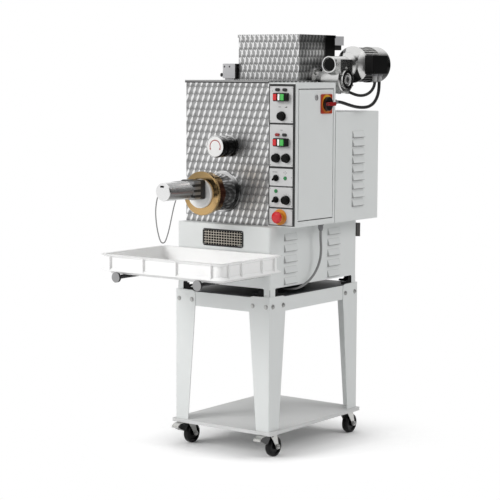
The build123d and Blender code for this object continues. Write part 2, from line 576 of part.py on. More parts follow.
# The screw: a helical flight on a core, a shaft through the rear bearing and the driven pulley.
screw_front, screw_back = body_front - nose_reach + 12, chamber_back - 14
with BuildPart() as extruder_screw:
    flight_length = screw_back - screw_front
    tip_radius = barrel_bore / 2 - sliding
    rod((screw_x, screw_back, screw_z), (0, -1, 0), 0, flight_length, screw_core / 2)
    screw_start = Vector(screw_x, screw_back - flight_sheet / 2, screw_z)
    with BuildLine() as thread:
        Helix(pitch=screw_pitch, height=flight_length - flight_sheet, radius=screw_core / 2,
              center=screw_start, direction=(0, -1, 0))
    flight_depth, root = tip_radius - screw_core / 2, thread.line @ 0
    with BuildSketch(Plane(origin=root, x_dir=root - screw_start, z_dir=thread.line % 0)):
        with Locations((flight_depth / 2 - 1, 0)):
            Rectangle(flight_depth + 2, flight_sheet)
    sweep(path=thread.line, is_frenet=True)
    shaft_length = belt_y + half_belt + 3 - screw_back
    rod((screw_x, screw_back, screw_z), (0, 1, 0), 0, shaft_length, screw_shaft_dia / 2)
with BuildPart() as screw_pulley:
    groove = pulley_large / 2 - belt_sheet
    turned((screw_x, belt_y, screw_z), (0, 1, 0),
           [(-half_belt - 3, screw_shaft_dia / 2), (-half_belt - 3, pulley_large / 2 + 2),
            (-half_belt, pulley_large / 2 + 2), (-half_belt, groove), (half_belt, groove),
            (half_belt, pulley_large / 2 + 2), (half_belt + 3, pulley_large / 2 + 2),
            (half_belt + 3, screw_shaft_dia / 2)])
save("extruder_screw", extruder_screw, screw_pulley)

# The ring nut: an octagonal grip with a round nose that traps the die's rim against the barrel.
ring_back = collar_reach + sliding
lip_start = nose_reach + die_rim + sliding
with BuildPart() as ring_nut:
    with BuildSketch(front(body_front - ring_back)):
        with Locations((screw_x, screw_z)):
            Circle(ring_body_dia / 2)
            RegularPolygon(ring_body_dia / 2 - 3, ring_flats, major_radius=False, mode=Mode.INTERSECT)
    extrude(amount=ring_reach - 14 - ring_back)
    turned((screw_x, body_front, screw_z), (0, -1, 0),
           [(ring_reach - 16, 0), (ring_reach - 14, ring_dia / 2), (ring_reach - 3, ring_dia / 2),
            (ring_reach, ring_dia / 2 - 3), (ring_reach, 0)])
    ring_bore, lip_bore = nose_dia / 2 + running, die_face_dia / 2 + 0.6
    turned((screw_x, body_front, screw_z), (0, -1, 0),
           [(0, 0), (0, ring_bore), (lip_start, ring_bore), (lip_start, lip_bore),
            (ring_reach + 1, lip_bore), (ring_reach + 1, 0)], Mode.SUBTRACT)
save("ring_nut", ring_nut)

# The die: a rim behind the ring nut's lip, a face with two circles of pasta holes, a stud for the cutter.
with BuildPart() as die:
    turned((screw_x, body_front, screw_z), (0, -1, 0),
           [(nose_reach, 0), (nose_reach, die_dia / 2), (nose_reach + die_rim, die_dia / 2),
            (nose_reach + die_rim, die_face_dia / 2), (die_reach - 1.5, die_face_dia / 2),
            (die_reach, die_face_dia / 2 - 1.5), (die_reach, stud_dia / 2), (die_reach + 22, stud_dia / 2),
            (die_reach + 22, 0)])
    with BuildSketch(front(body_front - nose_reach)):
        with Locations((screw_x, screw_z)):
            with PolarLocations(25, 12):
                Circle(2)
            with PolarLocations(47, 20):
                Circle(1.5)
    extrude(amount=die_reach - nose_reach, mode=Mode.SUBTRACT)
save("die", die)

# ================================================================ cutter
foot_start = die_reach + 5
block_start = foot_start + cutter_foot
tube_start = block_start + gear_block_length
with BuildPart() as cutter_foot_plate:
    with BuildSketch(front(body_front - foot_start)):
        with Locations((cutter_x, cutter_z)):
            RectangleRounded(gear_block_x + 2, gear_block_z + 1, 8)
    extrude(amount=cutter_foot)
    rod((screw_x, body_front, screw_z), (0, -1, 0), foot_start - 1, foot_start + 6,
        knife_hub_dia / 2 + 2, Mode.SUBTRACT)
    rod((screw_x, body_front, screw_z), (0, -1, 0), foot_start - 1, block_start + 1,
        stud_dia / 2, Mode.SUBTRACT)
with BuildPart() as cutter_motor:
    with BuildSketch(front(body_front - block_start)):
        with Locations((cutter_x, cutter_z)):
            RectangleRounded(gear_block_x, gear_block_z, 10)
    extrude(amount=gear_block_length)
    chamfer(cutter_motor.faces().sort_by(Axis.Y)[0].edges(), length=3)
    radius = motor_tube_dia / 2
    turned((cutter_x, body_front, cutter_z), (0, -1, 0),
           [(tube_start - 5, 0), (tube_start - 5, radius), (tube_start + motor_tube_length - 4, radius),
            (tube_start + motor_tube_length - 1, radius - 1.5), (tube_start + motor_tube_length, radius - 4),
            (tube_start + motor_tube_length, 0)])
    rod((screw_x, body_front, screw_z), (0, -1, 0), block_start - 1, die_reach + 22, stud_dia / 2,
        Mode.SUBTRACT)
    # the lead's two strain reliefs, on the block's left side and at its lower left corner
    block_left, block_face = cutter_x - gear_block_x / 2, body_front - tube_start
    block((block_left - 12, block_left), (lead_start_y, lead_start_y + 18),
          (lead_start_z - 6, lead_start_z + 6))
    rod((-63, block_face, lead_end_z), (0, -1, 0), -1, 8, 4)
save("cutter_motor", cutter_motor, cutter_foot_plate)

# The knife turns on the die's stud and sweeps the face; its one blade is parked upright.
with BuildPart() as cutter_knife:
    turned((screw_x, body_front, screw_z), (0, -1, 0),
           [(die_reach + sliding, stud_dia / 2 + running), (die_reach + sliding, knife_hub_dia / 2),
            (foot_start + 5, knife_hub_dia / 2), (foot_start + 5, stud_dia / 2 + running)])
    with BuildSketch(front(body_front - die_reach - sliding)):
        blade_root = screw_z + knife_hub_dia / 2 - 3
        Polygon((screw_x - 8, blade_root), (screw_x + 8, blade_root),
                (screw_x + 6, screw_z + knife_length), (screw_x - 3, screw_z + knife_length), align=None)
    extrude(amount=knife_sheet)
save("cutter_knife", cutter_knife)

# ================================================================ gate knob
# The knob's shaft runs back through the front wall to a flap that closes the duct between the tubs.
with BuildPart() as gate_knob:
    radius = knob_dia / 2
    turned((gate_x, body_front, gate_z), (0, -1, 0),
           [(-2, 0), (sliding, gate_shaft_dia / 2), (sliding, radius), (10, radius), (12, radius - 4),
            (30, radius - 4), (32, radius - 1), (56, radius - 1), (58, radius - 5), (78, radius - 5),
            (80, radius), (knob_reach - 2, radius), (knob_reach, radius - 2), (knob_reach, 0)])
    rod((gate_x, body_front, gate_z), (0, 1, 0), -1, tub_y + half_y - body_front, gate_shaft_dia / 2)
    flap_y = duct_inner_y / 2 - 2
    block((gate_x - duct_inner_x / 2 + 2, gate_x + duct_inner_x / 2 - 2), (tub_y - flap_y, tub_y + flap_y),
          (gate_z - gate_sheet / 2, gate_z + gate_sheet / 2))
save("gate_knob", gate_knob)

# ================================================================ body shell and top cover
# The body is deep below the rear deck and shallow above it, where the tub's back stands free.
shaft_notch_y = (tub_y - 42, tub_y + 42)
shaft_notch_z = mixer_z - 40
body_louvre_tops = [base_top + 120 + row * louvre_pitch for row in range(5)]
body_x, body_z = (body_left, body_right), (base_top, body_top)
upper_y, lower_y = (body_front + sheet, upper_back - sheet), (upper_back - sheet, body_back - sheet)
tub_behind = math.sqrt((tub_depth / 2) ** 2 - (upper_back - sheet - tub_y) ** 2)
tub_slot_z = math.floor(mixer_z - tub_behind) - 1  # just under the tub's floor where it passes the back
with BuildPart() as front_sheet:
    block(body_x, (body_front, body_front + sheet), body_z)
    rod((screw_x, body_front, screw_z), (0, 1, 0), -1, sheet + 1, barrel_dia / 2 + sliding, Mode.SUBTRACT)
    rod((gate_x, body_front, gate_z), (0, 1, 0), -1, sheet + 1, gate_shaft_dia / 2 + sliding, Mode.SUBTRACT)
with BuildPart() as back_sheet:
    block(body_x, (body_back - sheet, body_back), (base_top, rear_box_top))
    for column in (body_left + 110, body_right - 110):
        for mode in (Mode.ADD, Mode.SUBTRACT):
            louvres((column, body_back), (0, 1, 0), body_louvre_tops, mode)
with BuildPart() as rear_deck:
    block(body_x, lower_y, (rear_box_top - sheet, rear_box_top))
with BuildPart() as upper_back_sheet:
    block(body_x, (upper_back - sheet, upper_back), (rear_box_top, body_top))
    block((tub_left - 0.5, tub_right + 0.5), (upper_back - sheet - 1, upper_back + 1),
          (tub_slot_z, body_top + 1), Mode.SUBTRACT)
with BuildPart() as left_sheet:
    block((body_left, body_left + sheet), upper_y, body_z)
    block((body_left, body_left + sheet), lower_y, (base_top, rear_box_top - sheet))
with BuildPart() as right_sheet:
    block((body_right - sheet, body_right), upper_y, body_z)
    block((body_right - sheet, body_right), lower_y, (base_top, rear_box_top - sheet))
    block((body_right - sheet - 1, body_right + 1), shaft_notch_y, (shaft_notch_z, body_top + 1),
          Mode.SUBTRACT)
with BuildPart() as sensor_gland:
    gland((body_right, sensor_gland_y, sensor_gland_z), (1, 0, 0), sunk=0)
save("body_shell", front_sheet, back_sheet, rear_deck, upper_back_sheet, left_sheet, right_sheet,
     sensor_gland)

# The cover stops at the upper back.  Its tub cut-out is open behind.
cover_back = upper_back + cover_overhang
with BuildPart() as top_cover:
    outer = cover_overhang
    block((body_left - outer, body_right), (body_front - outer, cover_back), (cover_z, deck_z))
    block((body_left - outer + sheet, body_right + 1),
          (body_front - outer + sheet, cover_back - sheet), (cover_z - 1, body_top), Mode.SUBTRACT)
    block((tub_left - 0.5, tub_right + 0.5), (tub_front - 0.5, tub_back + 0.5), (cover_z, deck_z + 1),
          Mode.SUBTRACT)
    block((tub_right, body_right + 1), (tub_y - 55, tub_y + 55), (cover_z, deck_z + 1), Mode.SUBTRACT)
    block((tub_left - 24, tub_left), (tub_y - 34, tub_y + 34), (cover_z, deck_z + 1), Mode.SUBTRACT)
save("top_cover", top_cover)

# ================================================================ control panel
panel_x = (body_right + cabinet_right) / 2
panel_z = (base_top + 5, cabinet_top - 5)
plate_width = 109
plate_spans = [(base_top + low, base_top + high)
               for low, high in ((403, 543), (235, 396), (160, 227), (77, 155), (8, 71))]
panel_face = body_front - panel_sheet - plate_sheet
knob_base_dia, knob_top_dia, knob_length = 36, 30, 18
switch_block_x, switch_block_z, switch_depth = 60, 32, 22
button_x, button_z, button_travel = 16, 24, 4
switch_centres = ((panel_x + 4, base_top + 502), (panel_x + 4, base_top + 328.5))
knob_centres = {"feed_knob": (panel_x + 2, base_top + 429), "mix_knob": (panel_x - 23, base_top + 267),
                "cut_knob": (panel_x + 24, base_top + 268), "fan_knob": (panel_x + 24, base_top + 106)}
selector_centres = {"mode_selector": (panel_x - 24, base_top + 190),
                    "fan_selector": (panel_x - 24, base_top + 106)}
oval_lamps = [(panel_x + across, base_top + up) for up in (530, 357) for across in (-19, 15)]
round_lamps = ((panel_x + 19, base_top + 190), (panel_x - 24, base_top + 139))
estop_centre, estop_ring_dia, estop_head_dia = (panel_x - 4, base_top + 39), 62, 46
spindle_dia = 6

with BuildPart() as panel_frame:
    block((body_right + 2, cabinet_right - 2), (body_front - panel_sheet, body_front), panel_z)
with BuildPart() as panel_plates:
    with BuildSketch(front(body_front - panel_sheet)):
        for low, high in plate_spans:
            with Locations((panel_x - 1, (low + high) / 2)):
                RectangleRounded(plate_width, high - low, 4)
    extrude(amount=plate_sheet)
with BuildPart() as panel_lamps:
    for lamp_x, lamp_z in round_lamps:
        turned((lamp_x, panel_face, lamp_z), (0, -1, 0), [(0, 0), (0, 8), (2, 7.5), (4, 4), (4.5, 0)])
    for grow, start, reach in ((0, 0, 2.5), (-6, 2.5, 1.5)):
        with BuildSketch(front(panel_face - start)):
            with Locations(*oval_lamps):
                SlotOverall(22 + grow, 12 + grow)
        extrude(amount=reach)
with BuildPart() as estop_ring:
    turned((estop_centre[0], panel_face, estop_centre[1]), (0, -1, 0),
           [(0, 0), (0, estop_ring_dia / 2), (3, estop_ring_dia / 2), (5, 20), (12, 17), (12, 0)])
for plates in (panel_frame, panel_plates):
    with plates:
        for hole_x, hole_z in (*knob_centres.values(), *selector_centres.values()):
            rod((hole_x, body_front, hole_z), (0, -1, 0), -1, 20, spindle_dia / 2 + running, Mode.SUBTRACT)
estop_stem_dia = 20
with estop_ring:
    rod((estop_centre[0], panel_face, estop_centre[1]), (0, -1, 0), -1, 20, estop_stem_dia / 2 + running,
        Mode.SUBTRACT)
save("control_panel", panel_frame, panel_plates, panel_lamps, estop_ring)

# Two start-stop stations, each a black housing with a lens between two wells for the buttons.
button_places = {"stop": -20, "start": 14}
with BuildPart() as switch_blocks:
    for block_x, block_z in switch_centres:
        with BuildSketch(front(panel_face)):
            with Locations((block_x, block_z)):
                RectangleRounded(switch_block_x, switch_block_z, 4)
        extrude(amount=switch_depth)
    chamfer(switch_blocks.faces().sort_by(Axis.Y)[0].edges(), length=1.5)
    for block_x, block_z in switch_centres:
        for offset in button_places.values():
            block((block_x + offset - button_x / 2 - sliding, block_x + offset + button_x / 2 + sliding),
                  (panel_face - switch_depth - 1, panel_face - switch_depth + 8),
                  (block_z - button_z / 2 - sliding, block_z + button_z / 2 + sliding), Mode.SUBTRACT)
        block((block_x - 7, block_x + 2), (panel_face - switch_depth - 1.5, panel_face - switch_depth + 1),
              (block_z - button_z / 2, block_z + button_z / 2))
save("switch_blocks", switch_blocks)

for station, (block_x, block_z) in zip(("mixer", "extruder"), switch_centres):
    for use, offset in button_places.items():
        with BuildPart() as button:
            with BuildSketch(front(panel_face - switch_depth + 3.5)):
                with Locations((block_x + offset, block_z)):
                    RectangleRounded(button_x, button_z, 2)
            extrude(amount=3.5 + button_travel)
            fillet(button.faces().sort_by(Axis.Y)[0].edges(), radius=0.8)
        save(f"{station}_{use}_button", button)

# Fluted regulator knobs on spindles that pass through the panel.
knob_back = panel_sheet + plate_sheet + sliding
for knob_name, (knob_x, knob_z) in knob_centres.items():
    with BuildPart() as knob:
        turned((knob_x, body_front, knob_z), (0, -1, 0),
               [(0.2, 0), (0.2, spindle_dia / 2), (knob_back, spindle_dia / 2),
                (knob_back, knob_base_dia / 2), (knob_back + 4, knob_base_dia / 2),
                (knob_back + 5, knob_top_dia / 2 + 1), (knob_back + knob_length - 2, knob_top_dia / 2),
                (knob_back + knob_length, knob_top_dia / 2 - 2), (knob_back + knob_length, 0)])
        with BuildSketch(front(body_front - knob_back - 5)):
            with Locations((knob_x, knob_z)):
                with PolarLocations(knob_top_dia / 2 + 2.2, 10):
                    Circle(2.6)
        extrude(amount=knob_length, mode=Mode.SUBTRACT)
    save(knob_name, knob)

# Selector switches: a round skirt with a finger bar that points down to the left at rest.
for selector_name, (knob_x, knob_z) in selector_centres.items():
    with BuildPart() as selector:
        turned((knob_x, body_front, knob_z), (0, -1, 0),
               [(0.2, 0), (0.2, spindle_dia / 2), (knob_back, spindle_dia / 2), (knob_back, 12.5),
                (knob_back + 4, 12.5), (knob_back + 5, 11.5), (knob_back + 5, 0)])
        with BuildSketch(front(body_front - knob_back - 4)):
            with Locations((knob_x, knob_z)):
                SlotOverall(25, 8, rotation=45)
        extrude(amount=12)
    save(selector_name, selector)

# The emergency-stop mushroom stands on a stem in its yellow ring.
with BuildPart() as estop_button:
    head = estop_head_dia / 2
    turned((estop_centre[0], panel_face, estop_centre[1]), (0, -1, 0),
           [(6.5, 0), (6.5, estop_stem_dia / 2), (18, estop_stem_dia / 2), (18, head - 3), (21, head),
            (25, head), (29, head - 4), (31.5, head - 12), (32, 0)])
save("estop_button", estop_button)

# ================================================================ electrical cabinet
opening_y = (cabinet_back - 273 + 16, cabinet_back - 13)
opening_z = (base_top + 22, cabinet_top - 23)
hinge_rod_z, hinge_rod_x, hinge_rod_dia = opening_z[0] + door_gap + 3, cabinet_right - 3, 5
cabinet_z = (base_top, cabinet_top)
inner_x, inner_y = (body_right + sheet, cabinet_right - sheet), (body_front + sheet, cabinet_back - sheet)
door_side_x = (cabinet_right - sheet, cabinet_right)
lug_starts = (opening_y[0] - 12, opening_y[1])
with BuildPart() as cabinet_front:
    block((body_right, cabinet_right), (body_front, body_front + sheet), cabinet_z)
    for hole_x, hole_z in (*knob_centres.values(), *selector_centres.values()):
        rod((hole_x, body_front, hole_z), (0, 1, 0), -1, sheet + 1, spindle_dia / 2 + 0.5, Mode.SUBTRACT)
with BuildPart() as cabinet_back_sheet:
    block((body_right, cabinet_right), (cabinet_back - sheet, cabinet_back), cabinet_z)
with BuildPart() as cabinet_left_sheet:
    block((body_right, body_right + sheet), inner_y, cabinet_z)
with BuildPart() as cabinet_floor:
    block(inner_x, inner_y, (base_top, base_top + sheet))
with BuildPart() as cabinet_roof:
    block(inner_x, inner_y, (cabinet_top - sheet, cabinet_top))
# the door's side: four strips round the opening, and two lugs that carry the hinge rod
with BuildPart() as strip_below:
    block(door_side_x, inner_y, (base_top, opening_z[0]))
with BuildPart() as strip_above:
    block(door_side_x, inner_y, (opening_z[1], cabinet_top))
with BuildPart() as strip_front:
    block(door_side_x, (inner_y[0], opening_y[0]), opening_z)
with BuildPart() as strip_back:
    block(door_side_x, (opening_y[1], inner_y[1]), opening_z)
with BuildPart() as hinge_lugs:
    for lug_y in lug_starts:
        block((cabinet_right - 12, cabinet_right - sheet), (lug_y, min(lug_y + 12, inner_y[1])),
              (hinge_rod_z - 14, hinge_rod_z + 14))
for drilled in (strip_front, strip_back, hinge_lugs):
    with drilled:
        rod((hinge_rod_x, 0, hinge_rod_z), (0, 1, 0), opening_y[0] - 13, opening_y[1] + 13,
            hinge_rod_dia / 2 + running, Mode.SUBTRACT)
# cable glands: one under the overhang, one in the back wall above the rear box
with BuildPart() as cabinet_glands:
    gland((base_gland_x, base_gland_y, base_top), (0, 0, -1), sunk=0)
    gland((motor_gland_x, cabinet_back, motor_gland_z), (0, 1, 0), sunk=0)
save("cabinet", cabinet_front, cabinet_back_sheet, cabinet_left_sheet, cabinet_floor, cabinet_roof,
     strip_below, strip_above, strip_front, strip_back, hinge_lugs, cabinet_glands)

lock_y, lock_z = (opening_y[0] + opening_y[1]) / 2, opening_z[1] - 35
switch_y, switch_z, switch_plate = cabinet_back - 68, base_top + 474, 76
switch_knob_dia, switch_knob_length = 56, 27
with BuildPart() as cabinet_door:
    panel_y = (opening_y[0] + door_gap, opening_y[1] - door_gap)
    door_top = opening_z[1] - door_gap
    block((cabinet_right - sheet, cabinet_right), panel_y, (opening_z[0] + door_gap, door_top))
    block((cabinet_right - 16, cabinet_right), panel_y, (hinge_rod_z + 12, door_top))
    block((cabinet_right - 17, cabinet_right - sheet), (panel_y[0] + sheet, panel_y[1] - sheet),
          (hinge_rod_z + 11, door_top + 1), Mode.SUBTRACT)
    block((hinge_rod_x - 3, cabinet_right), panel_y, (hinge_rod_z - 3, hinge_rod_z + 13))
    rod((hinge_rod_x, 0, hinge_rod_z), (0, 1, 0), opening_y[0] - 10, opening_y[1] + 10, hinge_rod_dia / 2)
    rod((cabinet_right, lock_y, lock_z), (1, 0, 0), -20, 5, 9 + running, Mode.SUBTRACT)
    rod((cabinet_right, switch_y, switch_z), (1, 0, 0), -20, 5, 5 + running, Mode.SUBTRACT)
with BuildPart() as main_switch_plate:
    with BuildSketch(side(cabinet_right)):
        with Locations((switch_y, switch_z)):
            RectangleRounded(switch_plate, switch_plate, 5)
            Circle(5 + running, mode=Mode.SUBTRACT)
    extrude(amount=5)
save("cabinet_door", cabinet_door, main_switch_plate)

with BuildPart() as door_lock:
    turned((cabinet_right, lock_y, lock_z), (1, 0, 0),
           [(-8, 0), (-8, 9), (0, 9), (0.3, 11), (2.5, 11), (3.5, 10), (3.5, 0)])
    block((cabinet_right - 11, cabinet_right - 8), (lock_y - 6, lock_y + 38), (lock_z - 6, lock_z + 6))
    block((cabinet_right + 1.5, cabinet_right + 4), (lock_y - 1.5, lock_y + 1.5), (lock_z - 6, lock_z + 6),
          Mode.SUBTRACT)
save("door_lock", door_lock)

with BuildPart() as main_switch_knob:
    face_x = 5 + sliding
    turned((cabinet_right, switch_y, switch_z), (1, 0, 0),
           [(-4, 0), (-4, 5), (face_x, 5), (face_x, switch_knob_dia / 2), (face_x + 10, switch_knob_dia / 2),
            (face_x + 12, switch_knob_dia / 2 - 2), (face_x + 12, 0)])
    with BuildSketch(side(cabinet_right + face_x + 11)):
        with Locations((switch_y, switch_z)):
            RectangleRounded(50, 15, 5)
    extrude(amount=switch_knob_length - 11)
save("main_switch_knob", main_switch_knob)

# ================================================================ rear box
rear_tops = [rear_box_top - 77 - row * rear_box_louvre_pitch for row in range(9)]
with BuildPart() as rear_box:
    block((body_right, cabinet_right), (rear_box_front, body_back), (base_top, rear_box_top))
    block((body_right - 1, cabinet_right - sheet), (rear_box_front + sheet, body_back - sheet),
          (base_top + sheet, rear_box_top - sheet), Mode.SUBTRACT)
    for mode in (Mode.ADD, Mode.SUBTRACT):
        louvres((cabinet_right, rear_box_front + 165), (1, 0, 0), rear_tops, mode)
save("rear_box", rear_box)

# ================================================================ mixing tub
outlet_x, outlet_y = duct_inner_x - 4, duct_inner_y - 4
flange_sides = 12
with BuildPart() as hopper:
    for inset, mode in ((0, Mode.ADD), (tub_sheet, Mode.SUBTRACT)):
        half = tub_depth / 2 - inset
        with BuildSketch(side(tub_left + inset)):
            with BuildLine():
                Line((tub_y - half, tub_top), (tub_y - half, mixer_z))
                ThreePointArc((tub_y - half, mixer_z), (tub_y, mixer_z - half), (tub_y + half, mixer_z))
                Line((tub_y + half, mixer_z), (tub_y + half, tub_top))
                Line((tub_y + half, tub_top), (tub_y - half, tub_top))
            make_face()
        extrude(amount=tub_width - 2 * inset, mode=mode)
    block((tub_left - flange_sides, tub_right), (tub_front - flange_sides, tub_front), (deck_z, deck_z + 2))
    block((tub_left - flange_sides, tub_right), (tub_back, tub_back + flange_sides), (deck_z, deck_z + 2))
    block((tub_left - flange_sides, tub_left), (tub_front - flange_sides, tub_back + flange_sides),
          (deck_z, deck_z + 2))
    with BuildSketch(level(mixer_z - tub_depth / 2 - 5)):
        with Locations((gate_x, tub_y)):
            Rectangle(outlet_x, outlet_y)
    extrude(amount=60, mode=Mode.SUBTRACT)
    rod((0, tub_y, mixer_z), (1, 0, 0), -tub_width, tub_width, mixer_shaft_dia / 2 + running, Mode.SUBTRACT)
    # outboard bearing of the mixer shaft, on the left end wall
    turned((tub_left, tub_y, mixer_z), (-1, 0, 0),
           [(0, mixer_shaft_dia / 2 + running), (0, 30), (6, 30), (6, 22), (20, 20), (20, 0), (18, 0),
            (18, mixer_shaft_dia / 2 + running)])
    # hinge lugs for the lid on the back wall
    lid_axis_y, lid_axis_z, lid_pin_dia, lug_width = tub_back + 8, tub_top - 5, 6, 20
    lug_starts = (tub_left + 30, tub_right - 72)
    for lug_x in lug_starts:
        block((lug_x, lug_x + lug_width), (tub_back, lid_axis_y + 5), (lid_axis_z - 9, lid_axis_z + 4))
    rod((0, lid_axis_y, lid_axis_z), (1, 0, 0), -tub_width, tub_width, lid_pin_dia / 2 + running,
        Mode.SUBTRACT)
save("hopper", hopper)

with BuildPart() as hopper_lid:
    lid_gap = 1
    lid_z = tub_top + sliding
    lid_x = (tub_left - lid_gap - lid_sheet, tub_right + lid_gap + lid_sheet)
    lid_y = (tub_front - lid_gap - lid_sheet, tub_back + 1)
    block(lid_x, lid_y, (lid_z - lid_lip, lid_z + lid_sheet))
    block((lid_x[0] + lid_sheet, lid_x[1] - lid_sheet), (lid_y[0] + lid_sheet, lid_y[1] + 1),
          (lid_z - lid_lip - 1, lid_z), Mode.SUBTRACT)
    for ear_x in (lug_starts[0] + lug_width + 2, lug_starts[1] - lug_width - 2):
        with BuildSketch(side(ear_x)):
            Polygon((tub_back - 8, lid_z), (tub_back - 8, lid_z + lid_sheet),
                    (lid_axis_y + 4, lid_z + lid_sheet), (lid_axis_y + 4, lid_axis_z),
                    (lid_axis_y - 4, lid_axis_z), (lid_axis_y - 4, lid_z), align=None)
            with Locations((lid_axis_y, lid_axis_z)):
                Circle(4)
        extrude(amount=lug_width)
    for pin_start in (lug_starts[0] + 2, lug_starts[1] - lug_width - 2):
        rod((0, lid_axis_y, lid_axis_z), (1, 0, 0), pin_start, pin_start + 2 * lug_width, lid_pin_dia / 2)
save("hopper_lid", hopper_lid)

# The mixer: a shaft through both end walls with pairs of crossed paddles.
with BuildPart() as mixer_shaft:
    rod((0, tub_y, mixer_z), (1, 0, 0), tub_left - 17, gearbox_outer + 6, mixer_shaft_dia / 2)
    paddle_reach = tub_depth / 2 - tub_sheet - paddle_gap
    for row, paddle_x in enumerate((-118, -71, -24, 24, 71, 118)):
        angle = math.radians(60 * row)
        rod((paddle_x, tub_y, mixer_z), (0, math.cos(angle), math.sin(angle)), -paddle_reach, paddle_reach,
            paddle_dia / 2)
save("mixer_shaft", mixer_shaft)

# ================================================================ worm gearmotor
with BuildPart() as gearbox:
    bore = mixer_shaft_dia / 2 + running
    turned((0, tub_y, mixer_z), (1, 0, 0),
           [(tub_right, bore), (tub_right, 46), (tub_right + 7, 46), (tub_right + 7, 33),
            (gearbox_inner, 33), (gearbox_inner, gearbox_dia / 2 - 4), (gearbox_inner + 4, gearbox_dia / 2),
            (gearbox_outer - 4, gearbox_dia / 2), (gearbox_outer, gearbox_dia / 2 - 4),
            (gearbox_outer, hub_dia / 2), (gearbox_outer + 6, hub_dia / 2 - 2), (gearbox_outer + 6, 26),
            (gearbox_outer + 3, 24), (gearbox_outer + 3, 18), (gearbox_outer + 7, 17),
            (gearbox_outer + 7, bore)])
    turned((worm_x, worm_tube_front, worm_z), (0, 1, 0),
           [(0, 0), (0, worm_tube_dia / 2 - 6), (-8, worm_tube_dia / 2 - 4), (-8, worm_tube_dia / 2),
            (bell_start - worm_tube_front - 30, worm_tube_dia / 2),
            (bell_start - worm_tube_front - 14, 48), (bell_start - worm_tube_front, 50),
            (bell_end - worm_tube_front - 8, motor_dia / 2 + 4),
            (bell_end - worm_tube_front, motor_dia / 2 + 4), (bell_end - worm_tube_front, 0)])
    block((worm_x - 42, worm_x + 42), (tub_y - 44, tub_y + 44), (mixer_z + 20, worm_z + 20))
    rod((0, tub_y, mixer_z), (1, 0, 0), tub_right, gearbox_outer + 10, bore, Mode.SUBTRACT)
    with BuildSketch(level(mixer_z - gearbox_dia / 2 - 2)):
        with Locations((worm_x, tub_y)):
            with GridLocations(56, 60, 2, 2):
                Circle(7)
    extrude(amount=22)
save("gearbox", gearbox)

motor_start = bell_end
with BuildPart() as gear_motor:
    with BuildSketch(front(cowl_start)):
        with Locations((worm_x, worm_z)):
            Circle(motor_dia / 2 - 5)
            with PolarLocations(motor_dia / 2 - 5, 28):
                Rectangle(10, 3)
    extrude(amount=cowl_start - motor_start)
    radius = motor_dia / 2 + 3
    turned((worm_x, cowl_start, worm_z), (0, 1, 0),
           [(-10, 0), (-10, radius), (motor_end - cowl_start - 16, radius),
            (motor_end - cowl_start - 5, radius - 8), (motor_end - cowl_start, radius - 22),
            (motor_end - cowl_start, 0)])
    block((worm_x + motor_dia / 2 - 16, terminal_face - terminal_x),
          (terminal_y_centre - 20, terminal_y_centre + 48), (worm_z - 30, worm_z + 30))
with BuildPart() as terminal_box:
    box_z = (worm_z - terminal_z / 2, worm_z + terminal_z / 2)
    with BuildSketch(side(terminal_face - terminal_x)):
        with Locations((terminal_y_centre, worm_z)):
            RectangleRounded(terminal_y, terminal_z, 5)
    extrude(amount=terminal_x)
    chamfer(terminal_box.faces().sort_by(Axis.X)[-1].edges(), length=2)
    for gland_y in terminal_gland_y:
        gland((terminal_face - terminal_x / 2, gland_y, box_z[0]), (0, 0, -1))
save("gear_motor", gear_motor, terminal_box)

# A latch box at the tub's left foot and the lid's safety switch behind its right rear corner.
with BuildPart() as latch_box:
    block((tub_left - 67, tub_left - 4), (tub_front - 20, tub_front - 20 + 58), (deck_z + 2 + 4, deck_z + 66))
    block((tub_left - 60, tub_left - flange_sides - 1), (tub_front - 14, tub_front + 32),
          (deck_z, deck_z + 7))
    turned((tub_left - 67, tub_front - 8, deck_z + 20), (-1, 0, 0),
           [(-1, 0), (-1, 5), (6, 5), (6, 8), (16, 8), (17, 6), (17, 0)])
with BuildPart() as lid_switch:
    block((tub_right - 38, tub_right - 1), (tub_back, tub_back + 68), (tub_top - 38, tub_top - 1))
    block((tub_right - 34, tub_right - 5), (tub_back, tub_back + 56), (tub_top - 58, tub_top - 38))
save("hopper_switches", latch_box, lid_switch)


# ================================================================ cords
def cord_path(points):
    """Straight runs joined by tangent arcs, each arc as large as its two runs allow."""
    vectors = [Vector(*point) for point in points]
    radii = []
    for before, here, after in zip(vectors, vectors[1:], vectors[2:]):
        turn = math.radians((here - before).get_angle(after - here))
        shorter = min((here - before).length, (after - here).length)
        radii.append(0.45 * shorter / math.tan(turn / 2))
    print("  radii", [round(radius) for radius in radii], "turn runs",
          [round((b - a).length) for a, b in zip(vectors, vectors[1:])])
    return FilletPolyline(*points, radius=radii)


def cord(name, points, diameter):
    """A round tube along a cord's route, with its volume checked against section times length."""
    with BuildPart() as tube:
        with BuildLine() as route:
            cord_path(points)
        with BuildSketch(Plane(origin=route.line @ 0, z_dir=route.line % 0)):
            Circle(diameter / 2)
        sweep(path=route.line)
    length = sum(edge.length for edge in route.edges())
    ratio = tube.part.volume / (math.pi * diameter**2 / 4 * length)
    print(name, "length", round(length), "volume ratio", round(ratio, 4))
    save(name, tube)


# The cutter's lead: forward along the motor, down in a long loop in front of the tray, and back up.
lead_route = ((-77, lead_start_y, lead_start_z), (-77, -498, lead_start_z), (-77, -545, 1085),
              (-76, -583, 1077), (-76, -610, 1058), (-77, -624, 1025), (-77, -632, 985), (-77, -629, 945),
              (-76, -622, 908), (-75, -616, 888), (-73, -611, 870), (-71, -602, 857), (-68, -588, 857),
              (-65, -579, 876), (-62, -569, 906), (-61, -558, 942), (-61, -546, 978), (-62, -534, 1006),
              (-63, -520, lead_end_z), (-63, block_face - 8, lead_end_z))
cord("cutter_lead", lead_route, lead_dia)

